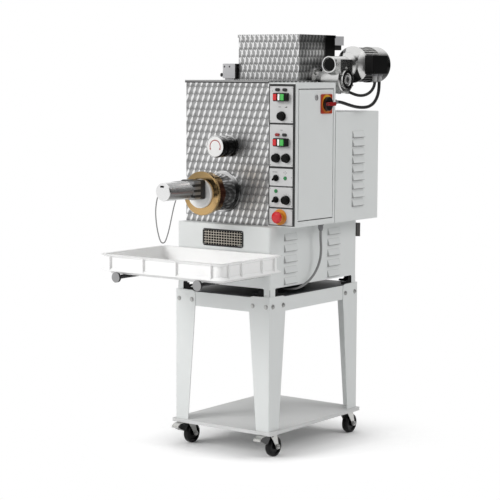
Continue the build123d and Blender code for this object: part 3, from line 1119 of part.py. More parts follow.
# The base cable drops from the cabinet's gland, goes in by the slot under the casing, and up to the motor.
drive_gland_mouth = motor_front + 60 - gland_length
base_cable_route = ((base_gland_x, base_gland_y, base_top - gland_length),
                    (base_gland_x, base_gland_y, 850), (267, -12, 812), (265, -12, 772), (262, -26, 736),
                    (257, -52, 702), (246, -84, 675), (226, -112, 657), (195, -124, 651), (160, -120, 652),
                    (126, -100, 662), (98, -68, 684), (77, -30, 712), (65, 6, 735),
                    (drive_gland_x, 38, main_motor_z), (drive_gland_x, drive_gland_mouth, main_motor_z))
cord("base_cable", base_cable_route, base_cable_dia)

# Two cables leave the gearmotor's terminal box: one to the cabinet's back, one to the body's side.
terminal_gland_x, gland_mouth_z = terminal_face - terminal_x / 2, box_z[0] - gland_length
motor_cable_route = ((terminal_gland_x, terminal_gland_y[1], gland_mouth_z),
                     (terminal_gland_x, terminal_gland_y[1], 1440), (345, 271, 1409), (344, 247, 1385),
                     (341.5, 216, 1372), (336.5, 186, 1368.5), (328, 156, 1369.5), (318, 127, 1375),
                     (307, 101, 1383), (299, 79.5, 1389.5), (motor_gland_x, 62, motor_gland_z),
                     (motor_gland_x, cabinet_back + gland_length, motor_gland_z))
cord("motor_cable", motor_cable_route, motor_cable_dia)

sensor_cable_route = ((terminal_gland_x, terminal_gland_y[0], gland_mouth_z),
                      (terminal_gland_x, terminal_gland_y[0], 1459), (337.5, 244, 1437.5),
                      (324, 233.5, 1422), (306.5, 220.5, 1415), (289, 207, 1416.5), (272, 195.5, 1424),
                      (257.5, 188, 1431.5), (241, 182.5, 1437.5), (223.5, sensor_gland_y, sensor_gland_z),
                      (body_right + gland_length, sensor_gland_y, sensor_gland_z))
cord("sensor_cable", sensor_cable_route, motor_cable_dia - 1)
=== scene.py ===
"""Dresses the packed electric pasta maker: finishes, small pieces, cords, light and camera.

Shapes are worked out in machine millimetres: X = 0 and Y = 0 are the middle of the stand, the front faces
-Y, Z = 0 is the floor.  build() turns them into metres in the row frame.
"""

from __future__ import annotations

import logging
import math
from dataclasses import dataclass, replace
from enum import Enum
from typing import Any, Callable, Mapping, Sequence

import bmesh
import bpy
import numpy as np
from mathutils import Matrix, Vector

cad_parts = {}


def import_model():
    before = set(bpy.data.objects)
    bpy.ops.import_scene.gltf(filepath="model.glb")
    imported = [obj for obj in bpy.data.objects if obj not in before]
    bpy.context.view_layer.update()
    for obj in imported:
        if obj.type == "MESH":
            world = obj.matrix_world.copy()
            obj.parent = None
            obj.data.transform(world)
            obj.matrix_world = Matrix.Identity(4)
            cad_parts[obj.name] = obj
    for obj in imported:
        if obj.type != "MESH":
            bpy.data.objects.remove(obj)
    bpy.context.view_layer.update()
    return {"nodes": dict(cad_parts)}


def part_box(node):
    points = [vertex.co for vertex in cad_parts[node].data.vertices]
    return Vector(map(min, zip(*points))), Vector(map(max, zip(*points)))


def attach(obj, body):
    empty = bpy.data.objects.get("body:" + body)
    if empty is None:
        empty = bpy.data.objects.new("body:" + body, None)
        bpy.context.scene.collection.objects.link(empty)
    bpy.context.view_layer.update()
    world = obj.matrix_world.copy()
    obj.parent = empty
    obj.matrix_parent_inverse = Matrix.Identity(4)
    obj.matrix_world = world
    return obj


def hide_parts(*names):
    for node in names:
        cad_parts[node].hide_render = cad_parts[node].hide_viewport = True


Array = np.ndarray
Colour = tuple[float, float, float]
Point = tuple[float, float, float]
log = logging.getLogger("pasta_maker")

MM = 0.001
STAND_MIDDLE = np.array((-32.5, 152.0, 0.0))  # the machine's own origin, in millimetres of the row frame
CREASE = math.radians(35.0)
SAME_PLACE = 1e-6  # metres
SCREW_SIDES = 24


def to_row(points: Any) -> Array:
    """Machine millimetres as metres in the row frame."""
    return (np.asarray(points, float) + STAND_MIDDLE) * MM


def node_box(node: str) -> tuple[Array, Array]:
    """Lowest and highest corner of a packed node, in machine millimetres."""
    low, high = (np.array(corner) / MM - STAND_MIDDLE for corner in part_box(node))
    return low, high


def node_middle(node: str) -> Array:
    """The middle of a packed node's box, in machine millimetres."""
    low, high = node_box(node)
    return (low + high) / 2


# ------------------------------------------------------------------------------------- shader trees
def arithmetic(operation: str, summary: str, flipped: bool = False) -> Callable[..., Wire]:
    """A method of Wire that adds one Math node.

    Args:
        operation: the node's operation.
        summary: the method's docstring.
        flipped: whether the other number comes first.

    Returns:
        The method.
    """
    def method(wire: Wire, *others: Wire | float) -> Wire:
        """Add the node and return its result."""
        return wire.board.maths(operation, *((*others, wire) if flipped else (wire, *others)))

    method.__doc__ = summary
    return method


class Wire:
    """One number in a shader tree.  Arithmetic on it adds Math nodes."""

    def __init__(self, board: Board, socket: bpy.types.NodeSocket) -> None:
        """Keep the socket and the board that it is on."""
        self.board, self.socket = board, socket

    __add__ = arithmetic("ADD", "The sum.")
    __radd__ = arithmetic("ADD", "The sum, with the other number first.", flipped=True)
    __sub__ = arithmetic("SUBTRACT", "The difference.")
    __rsub__ = arithmetic("SUBTRACT", "The difference, with the other number first.", flipped=True)
    __mul__ = arithmetic("MULTIPLY", 'The product, which also joins two masks with "and".')
    __rmul__ = arithmetic("MULTIPLY", "The product, with the other number first.", flipped=True)
    __truediv__ = arithmetic("DIVIDE", "The quotient.")
    __pow__ = arithmetic("POWER", "The power.")
    __abs__ = arithmetic("ABSOLUTE", "The absolute value.")
    __gt__ = arithmetic("GREATER_THAN", "1 where this is over the other, else 0.")
    __lt__ = arithmetic("LESS_THAN", "1 where this is under the other, else 0.")
    either = arithmetic("MAXIMUM", 'The larger of two, which joins two masks with "or".')
    least = arithmetic("MINIMUM", "The smaller of two.")
    floor = arithmetic("FLOOR", "The whole number below.")
    fraction = arithmetic("FRACT", "What is over the whole number below.")
    root = arithmetic("SQRT", "The square root.")
    wave = arithmetic("SINE", "The sine of the number, in radians.")

    def between(self, low: float, high: float) -> Wire:
        """1 where the number lies between two limits, else 0."""
        return (self > low) * (self < high)

    def rise(self, start: float, end: float) -> Wire:
        """A smooth step from 0 at start to 1 at end."""
        limits = {"Value": self, "From Min": start, "From Max": end}
        return Wire(self.board, self.board.node(
            "MapRange", {"interpolation_type": "SMOOTHSTEP"}, limits).outputs[0])

    def blend(self, low: Wire | float, high: Wire | float) -> Wire:
        """A value that goes from low where this is 0 to high where it is 1."""
        return self * (high - low) + low if isinstance(high, Wire) else (high - low) * self + low


class Board:
    """A shader tree with short ways to add nodes."""

    def __init__(self, tree: bpy.types.NodeTree) -> None:
        """Clear the tree."""
        self.tree = tree
        tree.nodes.clear()

    def connect(self, value: Any, socket: bpy.types.NodeSocket) -> None:
        """Give a socket a link or a plain value.

        Args:
            value: a Wire, a socket, a number or a colour of three numbers.
            socket: the input that takes it.
        """
        if isinstance(value, Wire):
            value = value.socket
        if isinstance(value, bpy.types.NodeSocket):
            self.tree.links.new(value, socket)
        elif isinstance(value, tuple) and socket.type == "RGBA":
            socket.default_value = (*value, 1.0)
        else:
            socket.default_value = value

    def node(self, kind: str, settings: Mapping[str, Any] | None = None,
             inputs: Mapping[str | int, Any] | None = None) -> bpy.types.Node:
        """Add a node, its settings first and then its sockets.

        Args:
            kind: the node's type, without the ShaderNode that all begin with.
            settings: its properties; "stops" are a ramp's two (position, colour) pairs.
            inputs: values or links by socket name or number.

        Returns:
            The new node.
        """
        made = self.tree.nodes.new(f"ShaderNode{kind}")
        for key, value in (settings or {}).items():
            if key == "stops":
                for element, (position, colour) in zip(made.color_ramp.elements, value):
                    element.position, element.color = position, (*colour, 1.0)
            else:
                setattr(made, key, value)
        for key, value in (inputs or {}).items():
            self.connect(value, made.inputs[key])
        return made

    def maths(self, operation: str, *values: Wire | float) -> Wire:
        """Add a Math node.

        Args:
            operation: the node's operation.
            values: its numbers, in order.

        Returns:
            The result.
        """
        return Wire(self, self.node("Math", {"operation": operation},
                                    dict(enumerate(values))).outputs[0])

    def parts(self, vector: bpy.types.NodeSocket) -> tuple[Wire, Wire, Wire]:
        """The three numbers of a vector."""
        split = self.node("SeparateXYZ", inputs={0: vector})
        return tuple(Wire(self, socket) for socket in split.outputs)

    def millimetres(self) -> bpy.types.NodeSocket:
        """The place on the machine, as a vector of machine millimetres."""
        place = self.node("TexCoord").outputs["Object"]
        return self.node("VectorMath", {"operation": "MULTIPLY_ADD"},
                         {0: place, 1: (1 / MM,) * 3, 2: tuple(-STAND_MIDDLE)}).outputs[0]

    def noise(self, size: float, stretch: Point = (1.0, 1.0, 1.0), detail: float = 2.0) -> Wire:
        """Add noise in the machine's millimetres.

        Args:
            size: the size of its grain.
            stretch: how often it repeats along each axis, against its size.
            detail: its octaves.

        Returns:
            The noise, about 0.5 on average.
        """
        scaled = self.node("VectorMath", {"operation": "MULTIPLY"},
                           {0: self.millimetres(), 1: tuple(way / size for way in stretch)})
        return Wire(self, self.node("TexNoise", inputs={
            "Vector": scaled.outputs[0], "Scale": 1.0, "Detail": detail}).outputs["Fac"])

    def mix(self, mask: Wire | float, first: Any, second: Any, way: str = "MIX") -> bpy.types.NodeSocket:
        """Mix two colours.

        Args:
            mask: 0 for the first, 1 for the second.
            first: a colour or a socket.
            second: a colour or a socket.
            way: the Mix node's blend type.

        Returns:
            The colour's socket.
        """
        return self.node("Mix", {"data_type": "RGBA", "blend_type": way},
                         {0: mask, 6: first, 7: second}).outputs[2]

    def tint(self, colour: Any, mask: Wire, darkest: float) -> bpy.types.NodeSocket:
        """Darken a colour: times darkest where the mask is 0, as it is where the mask is 1."""
        stops = ((0.0, (darkest,) * 3), (1.0, (1.0,) * 3))
        ramp = self.node("ValToRGB", {"stops": stops}, {0: mask})
        return self.mix(1.0, colour, ramp.outputs[0], "MULTIPLY")


# ----------------------------------------------------------------------------------------- finishes
@dataclass(frozen=True)
class Look:
    """What a surface is made of, where it is even."""

    colour: Colour
    roughness: float
    metallic: float = 0.0
    coat: float = 0.0


def grey(tone: float, roughness: float, metallic: float = 0.0, coat: float = 0.0) -> Look:
    """A look whose colour is an even grey."""
    return Look((tone, tone, tone), roughness, metallic, coat)


@dataclass(frozen=True)
class Zone:
    """A look that holds where a mask of machine millimetres is 1."""

    look: Look
    where: Callable[[Wire, Wire, Wire], Wire]


class Grain(Enum):
    """Fine texture: size and depth in millimetres, spread of roughness, darkening of colour."""

    POLISHED = (9.0, 0.004, 0.05, 0.97)
    POWDER = (1.5, 0.018, 0.10, 0.955)
    MOULDED = (0.9, 0.008, 0.08, 0.97)
    CAST = (2.4, 0.09, 0.16, 0.86)
    RUBBER = (1.2, 0.02, 0.16, 0.85)
    PLATED = (5.0, 0.006, 0.22, 0.80)


@dataclass(frozen=True)
class Finish:
    """An even or zoned look with fine grain and softly rounded edges."""

    name: str
    look: Look
    grain: Grain = Grain.MOULDED
    edge: float = 0.5
    zones: tuple[Zone, ...] = ()
    ior: float = 1.5
    constants: tuple[tuple[str, float], ...] = ()  # more sockets of the shader, with their values

    def material(self) -> bpy.types.Material:
        """The finish's material, built once, under a name that no packed material has."""
        title = f"{self.name}_finish"
        return bpy.data.materials.get(title) or self.build(title)

    def build(self, title: str) -> bpy.types.Material:
        """Build the material.

        Args:
            title: its name.

        Returns:
            The new material.
        """
        material = bpy.data.materials.new(title)
        material.use_nodes = True
        board = Board(material.node_tree)
        shader = board.node("BsdfPrincipled", inputs={
            "IOR": self.ior, "Coat Roughness": 0.08, **dict(self.constants)})
        for socket, value in self.surface(board).items():
            board.connect(value, shader.inputs[socket])
        board.node("OutputMaterial", inputs={0: shader.outputs[0]})
        return material

    def marked(self, name: str, *zones: Zone) -> Finish:
        """The same finish under another name, with zones of other looks."""
        return replace(self, name=name, zones=zones)

    def zoned(self, board: Board) -> tuple[Any, Any, Any, Any]:
        """Colour, roughness, metallic and coat with the zones mixed in.

        Args:
            board: the tree that takes the nodes.

        Returns:
            Four values or links.
        """
        colour, roughness = self.look.colour, self.look.roughness
        metallic, coat = self.look.metallic, self.look.coat
        if self.zones:
            place = board.parts(board.millimetres())
        for zone in self.zones:
            mask = zone.where(*place)
            colour = board.mix(mask, colour, zone.look.colour)
            roughness = mask.blend(roughness, zone.look.roughness)
            if zone.look.metallic != self.look.metallic or isinstance(metallic, Wire):
                metallic = mask.blend(metallic, zone.look.metallic)
            if zone.look.coat != self.look.coat or isinstance(coat, Wire):
                coat = mask.blend(coat, zone.look.coat)
        return colour, roughness, metallic, coat

    def surface(self, board: Board) -> dict[str, Any]:
        """The shader's sockets.

        Args:
            board: the tree that takes the nodes.

        Returns:
            Values or links by socket name.
        """
        size, depth, spread, darkest = self.grain.value
        colour, roughness, metallic, coat = self.zoned(board)
        grain, cloud = board.noise(size), board.noise(60 * size, detail=3.0)
        return {"Base Color": board.tint(colour, grain * 0.5 + cloud * 0.5, darkest),
                "Roughness": (grain + cloud - 1.0) * spread + roughness,
                "Metallic": metallic, "Coat Weight": coat,
                "Normal": self.relief(board, grain, depth)}

    def relief(self, board: Board, height: Wire, depth: float) -> bpy.types.NodeSocket:
        """Bump over softly rounded edges.

        Args:
            board: the tree that takes the nodes.
            height: the bump, from 0 to 1.
            depth: its depth in millimetres.

        Returns:
            The normal's socket.
        """
        edges = board.node("Bevel", {"samples": 4}, {"Radius": self.edge * MM})
        return board.node("Bump", inputs={
            "Strength": 1.0, "Distance": depth * MM, "Height": height,
            "Normal": edges.outputs[0]}).outputs[0]


class Brushing(Enum):
    """Which way a brushed surface's lines run: how often the noise repeats along each axis."""

    ALONG_X = (0.02, 1.0, 1.0)
    ALONG_Y = (1.0, 0.02, 1.0)


@dataclass(frozen=True)
class Brushed(Finish):
    """Metal with fine lines along one axis."""

    lines: Brushing = Brushing.ALONG_X
    pitch: float = 0.7

    def surface(self, board: Board) -> dict[str, Any]:
        """The shader's sockets: roughness, tone and relief all follow the lines.

        Args:
            board: the tree that takes the nodes.

        Returns:
            Values or links by socket name.
        """
        colour, roughness, metallic, coat = self.zoned(board)
        lines, cloud = board.noise(self.pitch, self.lines.value), board.noise(90.0)
        return {"Base Color": board.tint(colour, lines * 0.6 + cloud * 0.4, 0.80),
                "Roughness": (lines - 0.5) * 0.25 + roughness, "Metallic": metallic, "Coat Weight": coat,
                "Normal": self.relief(board, lines, 0.012)}


@dataclass(frozen=True)
class EngineTurned(Finish):
    """Steel sheet with overlapping round brush marks in rows.

    Each mark lies over the row below it and over its left neighbour.  Inside a mark the brush went round,
    so light gathers in short leaning streaks through its centre.
    """

    pitch: float = 27.5
    row: float = 30.0
    shift: float = 0.382  # how much further along each row starts, as a share of the pitch
    radius: float = 19.5
    lean: float = 33.0  # the streak's lean to the right, in degrees
    half_width: float = 6.8
    half_length: float = 17.5
    bend: float = 0.24  # how far the streak's ends turn off to the sides
    cross: float = 0.0  # how strong a second streak is that leans the other way
    # the grey of the ground and the grey of the painted highlights
    dark: float = 0.24
    bright: float = 1.0
    wander: float = 5.0  # how far rows and streaks stray
    row_wander_size: float = 170.0
    streak_wander_size: float = 10.0

    def marks(self, board: Board) -> tuple[Wire, Wire, Wire]:
        """Where each point lies in the mark on top of it.

        Each row starts at its own share of the pitch.  Of the row above and the row of the point, right
        mark before left, the first whose centre is within the radius wins.

        Args:
            board: the tree that takes the nodes.

        Returns:
            The place across and up from the mark's centre, and its distance from there.
        """
        x, y, z = board.parts(board.millimetres())
        faces = board.parts(board.node("TexCoord").outputs["Normal"])
        on_side, on_front, on_top = (abs(way) > 0.7 for way in faces)
        across = x * on_front.either(on_top) + y * on_side
        up = z * (1.0 - on_top) + y * on_top + board.noise(self.row_wander_size) * self.wander
        this_row = (up / self.row).floor()
        found_across, found_up = None, None
        for step in (0, 1):
            number = this_row + float(step)
            height = up - number * self.row
            cell = (across / self.pitch - (number * self.shift).fraction()).fraction()
            for place in (cell * self.pitch, (cell - 1.0) * self.pitch):
                if found_across is None:
                    found_across, found_up = place, height
                    continue
                covers = (place * place + height * height) < self.radius**2
                found_across = covers.blend(found_across, place)
                found_up = covers.blend(found_up, height)
        distance = (found_across * found_across + found_up * found_up).root()
        return found_across, found_up, distance

    def streak(self, across: Wire, up: Wire, lean: float) -> Wire:
        """A bright streak through the centre, pointed at its ends and bent a little into an S.

        It is 1 less the place across it over its half width there, which falls to 0 at its ends.

        Args:
            across: the place across the mark.
            up: the place up the mark.
            lean: the streak's lean to the right, in degrees.

        Returns:
            The streak, from 0 to 1.
        """
        turn = math.radians(lean)
        along = across * math.sin(turn) + up * math.cos(turn)
        bent = along * abs(along) * (self.bend / self.half_length)
        aside = across * math.cos(turn) - up * math.sin(turn) + bent
        taper = (1.0 - along * along / self.half_length**2).either(0.02)
        return (1.0 - abs(aside) / (taper * self.half_width)).either(0.0)

    def surface(self, board: Board) -> dict[str, Any]:
        """The shader's sockets: streaks, faint rings and rims over a cloudy grey.

        Args:
            board: the tree that takes the nodes.

        Returns:
            Values or links by socket name.
        """
        across, up, distance = self.marks(board)
        across = across + (board.noise(self.streak_wander_size) - 0.5) * self.wander
        fan = self.streak(across, up, self.lean) ** 0.9
        if self.cross:
            fan = fan.either(self.streak(across, up, -self.lean * 0.9) * self.cross)
        rings = (distance * 3.1).wave() * 0.5 + 0.5
        rim = distance.rise(self.radius * 0.86, self.radius)
        fine, cloud = board.noise(0.8), board.noise(110.0)
        # painted light in the base colour: highlight streaks, a lighter and a darker side, and large soft
        # highlights from the cloud
        side = (across / self.radius) * 0.16 * (1.0 - fan)
        light = (fan * (cloud * 0.9 + 0.75) + (1.0 - distance / self.radius).either(0.0) * 0.20 - side
                 + rings * 0.05 + fine * 0.12 + cloud * 0.24 - rim * 0.14 - 0.14)
        colour = board.mix(light.least(1.0).either(0.0), (self.dark,) * 3, (self.bright,) * 3)
        for zone in self.zones:
            mask = zone.where(*board.parts(board.millimetres()))
            colour = board.mix(mask, colour, zone.look.colour)
        return {"Base Color": colour, "Roughness": 0.38 - fan * 0.12 + fine * 0.08, "Metallic": 1.0,
                "Normal": self.relief(board, rings * 0.2 + distance * distance / self.radius**2, 0.06)}


@dataclass(frozen=True)
class Moulding(Finish):
    """White moulded plastic whose panels carry fine level ribs."""

    pitch: float = 7.0

    def surface(self, board: Board) -> dict[str, Any]:
        """The shader's sockets, with ribs that repeat up the walls.

        Args:
            board: the tree that takes the nodes.

        Returns:
            Values or links by socket name.
        """
        sockets = super().surface(board)
        _, _, z = board.parts(board.millimetres())
        facing = board.parts(board.node("TexCoord").outputs["Normal"])[2]
        rib = ((z * (math.tau / self.pitch)).wave()).rise(0.55, 0.95) * (abs(facing) < 0.3)
        fine = board.noise(self.grain.value[0])
        sockets["Normal"] = self.relief(board, rib * 0.9 + fine * 0.05, 0.35)
        return sockets


class Paint:
    """The finishes of the machine's pieces, by what they are."""

    WHITE_COAT = Finish("white_powder_coat", Look((0.765, 0.785, 0.778), 0.42), Grain.POWDER, 0.8)
    SHELF_COAT = Finish("shelf_powder_coat", Look((0.68, 0.685, 0.68), 0.46), Grain.POWDER, 0.8)
    TURNED_BODY = EngineTurned("engine_turned_body", grey(0.6, 0.3, 1.0), edge=0.8)
    TURNED_TUB = EngineTurned(
        "engine_turned_tub", grey(0.6, 0.3, 1.0), edge=0.8, pitch=23.0, radius=18.8, lean=30.0,
        half_width=5.4, bend=0.42, cross=0.72, dark=0.25, zones=(Zone(
            # painted reflection of the gearmotor: the right wall is near black at its rear and low down
            grey(0.012, 0.3, 1.0), lambda x, y, z: (x > 148.0) * y.rise(158.0, 186.0).either(
                (1.0 - z.rise(1475.0, 1520.0)) * y.rise(10.0, 60.0) * 0.95)),))
    LID_STEEL = Brushed("brushed_lid_steel", grey(0.42, 0.30, 1.0), edge=0.6)
    # painted shade: the lower part of the cover's front lip is near black
    COVER_STEEL = Brushed("brushed_cover_steel", grey(0.42, 0.30, 1.0), edge=0.3, zones=(
        Zone(grey(0.045, 0.4, 1.0), lambda x, y, z: z < 1470.0),))
    CHROME = Finish("polished_chrome", grey(0.74, 0.09, 1.0), Grain.POLISHED, 0.6)
    KNOB_CHROME = Finish("turned_chrome", grey(0.66, 0.10, 1.0), Grain.POLISHED, 0.5)
    BRASS = Finish("polished_brass", Look((0.60, 0.40, 0.18), 0.15, 1.0), Grain.POLISHED, 0.9)
    ZINC = Finish("zinc_plate", Look((0.66, 0.66, 0.64), 0.30, 1.0), Grain.PLATED, 0.5)
    BOLT = Finish("plated_bolts", Look((0.55, 0.55, 0.54), 0.28, 1.0), Grain.PLATED, 0.3)
    ROD = Brushed("rod_steel", Look((0.05, 0.05, 0.052), 0.25, 1.0), edge=0.5, lines=Brushing.ALONG_Y,
                  zones=(Zone(Look((0.44, 0.44, 0.445), 0.42, 1.0), lambda x, y, z: y < -726.2),))
    TRAY = Moulding("tray_plastic", Look((0.98, 0.98, 0.975), 0.36), Grain.MOULDED, 2.0)
    DIE = Finish("die_white", Look((0.93, 0.93, 0.92), 0.30, coat=0.2), Grain.MOULDED, 0.8)
    TYRE = Finish("tyre_black", grey(0.005, 0.30), Grain.RUBBER, 1.0, ior=1.3)
    BLACK = Finish("moulded_black", grey(0.004, 0.40), Grain.MOULDED, 0.7, ior=1.3,
                   constants=(("Specular IOR Level", 0.3),))
    GLOSS_BLACK = Finish("gloss_black", grey(0.006, 0.18, coat=0.2), Grain.MOULDED, 0.7)
    RED = Finish("gloss_red", Look((0.60, 0.018, 0.022), 0.24, coat=0.2), Grain.MOULDED, 0.8)
    GREEN = Finish("gloss_green", Look((0.07, 0.47, 0.09), 0.26, coat=0.2), Grain.MOULDED, 0.8)
    MARK = Finish("printed_mark", grey(0.05, 0.55), Grain.MOULDED, 0.1)
    ALLOY = Finish("cast_alloy", Look((0.78, 0.78, 0.77), 0.24, 1.0), Grain.CAST, 1.2)
    IRON = Finish("machined_iron", Look((0.20, 0.21, 0.22), 0.40, 0.9), Grain.CAST, 0.8)
    BELT = Finish("belt_rubber", grey(0.02, 0.6), Grain.RUBBER, 0.5)
    MOTOR = Finish("motor_grey", Look((0.045, 0.048, 0.052), 0.42), Grain.CAST, 1.0)
    BLACK_SHEATH = Finish("black_sheath", grey(0.016, 0.42), Grain.RUBBER, 0.1)
    GREY_SHEATH = Finish("grey_sheath", grey(0.26, 0.45), Grain.RUBBER, 0.1)
    GLAND = Finish("gland_grey", Look((0.20, 0.20, 0.21), 0.42), Grain.MOULDED, 0.4)


# ------------------------------------------------------------------------------------------- shapes
class Facing(Enum):
    """The way a face looks: its outward direction and its own right-hand direction."""

    FRONT = ((0, -1, 0), (1, 0, 0))
    BACK = ((0, 1, 0), (-1, 0, 0))
    RIGHT = ((1, 0, 0), (0, 1, 0))
    LEFT = ((-1, 0, 0), (0, -1, 0))
    BOTTOM = ((0, 0, -1), (1, 0, 0))

    def axes(self) -> tuple[Array, Array, Array]:
        """Right, up and outward as vectors; up is outward crossed with right."""
        outward, right = (np.array(way, float) for way in self.value)
        return right, np.cross(outward, right), outward


@dataclass
class Shape:
    """Points in machine millimetres, and arrays of faces with as many corners each."""

    points: Array
    faces: list[Array]

    def __add__(self, other: Shape) -> Shape:
        """Both shapes as one."""
        count = len(self.points)
        return Shape(np.vstack((self.points, other.points)), self.faces + [f + count for f in other.faces])

    def at(self, places: Any) -> Shape:
        """Copies of the shape.

        Args:
            places: how far each copy is moved.

        Returns:
            The copies as one shape.
        """
        moves = np.atleast_2d(np.asarray(places, float))
        starts = len(self.points) * np.arange(len(moves))[:, None, None]
        points = (self.points[None] + moves[:, None]).reshape(-1, 3)
        return Shape(points, [(f[None] + starts).reshape(-1, f.shape[1]) for f in self.faces])


def joined(shapes: Sequence[Shape]) -> Shape:
    """All the shapes as one."""
    whole = shapes[0]
    for shape in shapes[1:]:
        whole = whole + shape
    return whole


def lattice(points: Array) -> Shape:
    """Four-cornered faces over a grid of points whose rows are closed rings.

    Args:
        points: the grid, as (rows, columns, 3).

    Returns:
        The surface.
    """
    rows, columns = points.shape[:2]
    index = np.arange(rows * columns).reshape(rows, columns)
    index = np.hstack((index, index[:, :1]))
    corners = (index[:-1, :-1], index[:-1, 1:], index[1:, 1:], index[1:, :-1])
    return Shape(points.reshape(-1, 3), [np.stack(corners, -1).reshape(-1, 4)])


def eased(points: Any, radius: float, steps: int = 3) -> Array:
    """A line of points with its corners rounded.

    Each corner P between A and B becomes the curve (1-t)^2 a + 2t(1-t) P + t^2 b, where a and b lie on
    the two runs, the radius or 0.45 of the run away from P.

    Args:
        points: the line's points, as (n, k).
        radius: how far from each corner the curve starts.
        steps: the curve's pieces.

    Returns:
        The rounded line's points.
    """
    line = np.asarray(points, float)
    before, here, after = line[:-2], line[1:-1], line[2:]

    def towards(end: Array) -> Array:
        """The point on the run to end where the curve starts."""
        run = np.linalg.norm(end - here, axis=1, keepdims=True)
        return here + (end - here) * np.minimum(radius / np.maximum(run, 1e-9), 0.45)

    t = np.linspace(0, 1, steps + 1)[None, :, None]
    first, last = towards(before)[:, None], towards(after)[:, None]
    curves = (1 - t) ** 2 * first + 2 * t * (1 - t) * here[:, None] + t**2 * last
    return np.vstack((line[:1], curves.reshape(-1, line.shape[1]), line[-1:]))


def turned(profile: Any, origin: Point, facing: Facing, sides: int) -> Shape:
    """A profile carried round an axis.

    The point at distance d, radius r, weight w and angle a is origin + d outward + r q (cos a right +
    sin a up), where q goes from 1 to a hexagon's outline cos(pi/6) / cos((a mod pi/3) - pi/6) with w.

    Args:
        profile: rows of (distance, radius) or (distance, radius, weight).
        origin: where the axis starts.
        facing: the way it runs.
        sides: steps round the axis.

    Returns:
        The surface.
    """
    rows = np.asarray(profile, float)
    weight = rows[:, 2:3] if rows.shape[1] > 2 else 0.0
    right, up, outward = facing.axes()
    angle = np.arange(sides) * (math.tau / sides)
    hexagon = math.cos(math.pi / 6) / np.cos(angle % (math.tau / 6) - math.pi / 6)
    radius = rows[:, 1:2] * (1 - weight + weight * hexagon)
    ring = np.cos(angle)[:, None] * right + np.sin(angle)[:, None] * up
    return lattice(np.array(origin) + rows[:, :1, None] * outward + radius[..., None] * ring)


def round_axis(middle: Point, facing: Facing, radius: float, count: int, start: float) -> Array:
    """Places evenly round an axis: middle + radius (cos a right + sin a up).

    Args:
        middle: the point on the axis.
        facing: the way it runs.
        radius: how far out the places lie.
        count: how many there are.
        start: the first one's angle a, in degrees.

    Returns:
        The places, as (count, 3).
    """
    right, up, _ = facing.axes()
    turn = np.radians(np.arange(count) * 360.0 / count + start)[:, None]
    return np.array(middle) + radius * (np.cos(turn) * right + np.sin(turn) * up)


def slab(outline: Array, origin: Point, facing: Facing, depth: float) -> Shape:
    """A flat outline carried outwards, with closed ends.

    Args:
        outline: a closed loop of (right, up) points, counter-clockwise.
        origin: the outline's own origin.
        facing: the way the front looks.
        depth: the thickness.

    Returns:
        The solid.
    """
    right, up, outward = facing.axes()
    back = np.array(origin) + outline[:, :1] * right + outline[:, 1:] * up
    sides, index = lattice(np.stack((back, back + depth * outward))), np.arange(len(outline))
    return Shape(sides.points, sides.faces + [index[::-1][None], (len(outline) + index)[None]])


def box_outline(width: float, height: float, radius: float, steps: int = 5) -> Array:
    """A rounded rectangle about its middle: four quarter circles round the corners' centres.

    Args:
        width: its width.
        height: its height.
        radius: its corners' radius.
        steps: the pieces of each corner.

    Returns:
        The closed loop of points.
    """
    turn = np.linspace(0, math.pi / 2, steps + 1)[None] + np.arange(4)[:, None] * (math.pi / 2)
    sign = np.array(((1, 1), (-1, 1), (-1, -1), (1, -1)), float)
    middle = sign * (width / 2 - radius, height / 2 - radius)
    return (middle[:, None] + radius * np.stack((np.cos(turn), np.sin(turn)), -1)).reshape(-1, 2)


def arc_outline(radius: float, width: float, start: float, end: float, steps: int = 40) -> Array:
    """A band along an arc: out along its outer edge and back along its inner one.

    Args:
        radius: the arc's radius to the band's middle.
        width: the band's width.
        start: the first angle, in degrees.
        end: the last angle, in degrees.
        steps: the arc's pieces.

    Returns:
        The closed loop of points.
    """
    turn = np.radians(np.linspace(start, end, steps + 1))
    arc = np.stack((np.cos(turn), np.sin(turn)), 1)
    return np.vstack((arc * (radius + width / 2), arc[::-1] * (radius - width / 2)))


def hex_bolt(facing: Facing, flats: float = 13.0, head: float = 5.5, washer: float = 19.0) -> Shape:
    """A domed hexagon head on a washer, at the origin: a profile that goes from round to six-sided."""
    corner = flats / math.sqrt(3)
    return turned(((0, 0, 0), (0, washer / 2, 0), (1.0, washer / 2, 0), (1.4, washer / 2 - 0.5, 0),
                   (1.4, corner, 1), (head * 0.72, corner, 1), (head * 0.92, corner * 0.90, 0.5),
                   (head, corner * 0.6, 0), (head, 0, 0)), (0, 0, 0), facing, SCREW_SIDES)


def socket_screw(facing: Facing, head: float = 9.0) -> Shape:
    """A button-head screw with a six-sided socket, at the origin."""
    r = head / 2
    return turned(((0, 0, 0), (0, r, 0), (r * 0.25, r, 0), (r * 0.5, r * 0.8, 0), (r * 0.6, r * 0.5, 0),
                   (r * 0.6, r * 0.42, 1), (r * 0.2, r * 0.38, 1), (r * 0.2, 0, 0)),
                  (0, 0, 0), facing, SCREW_SIDES)


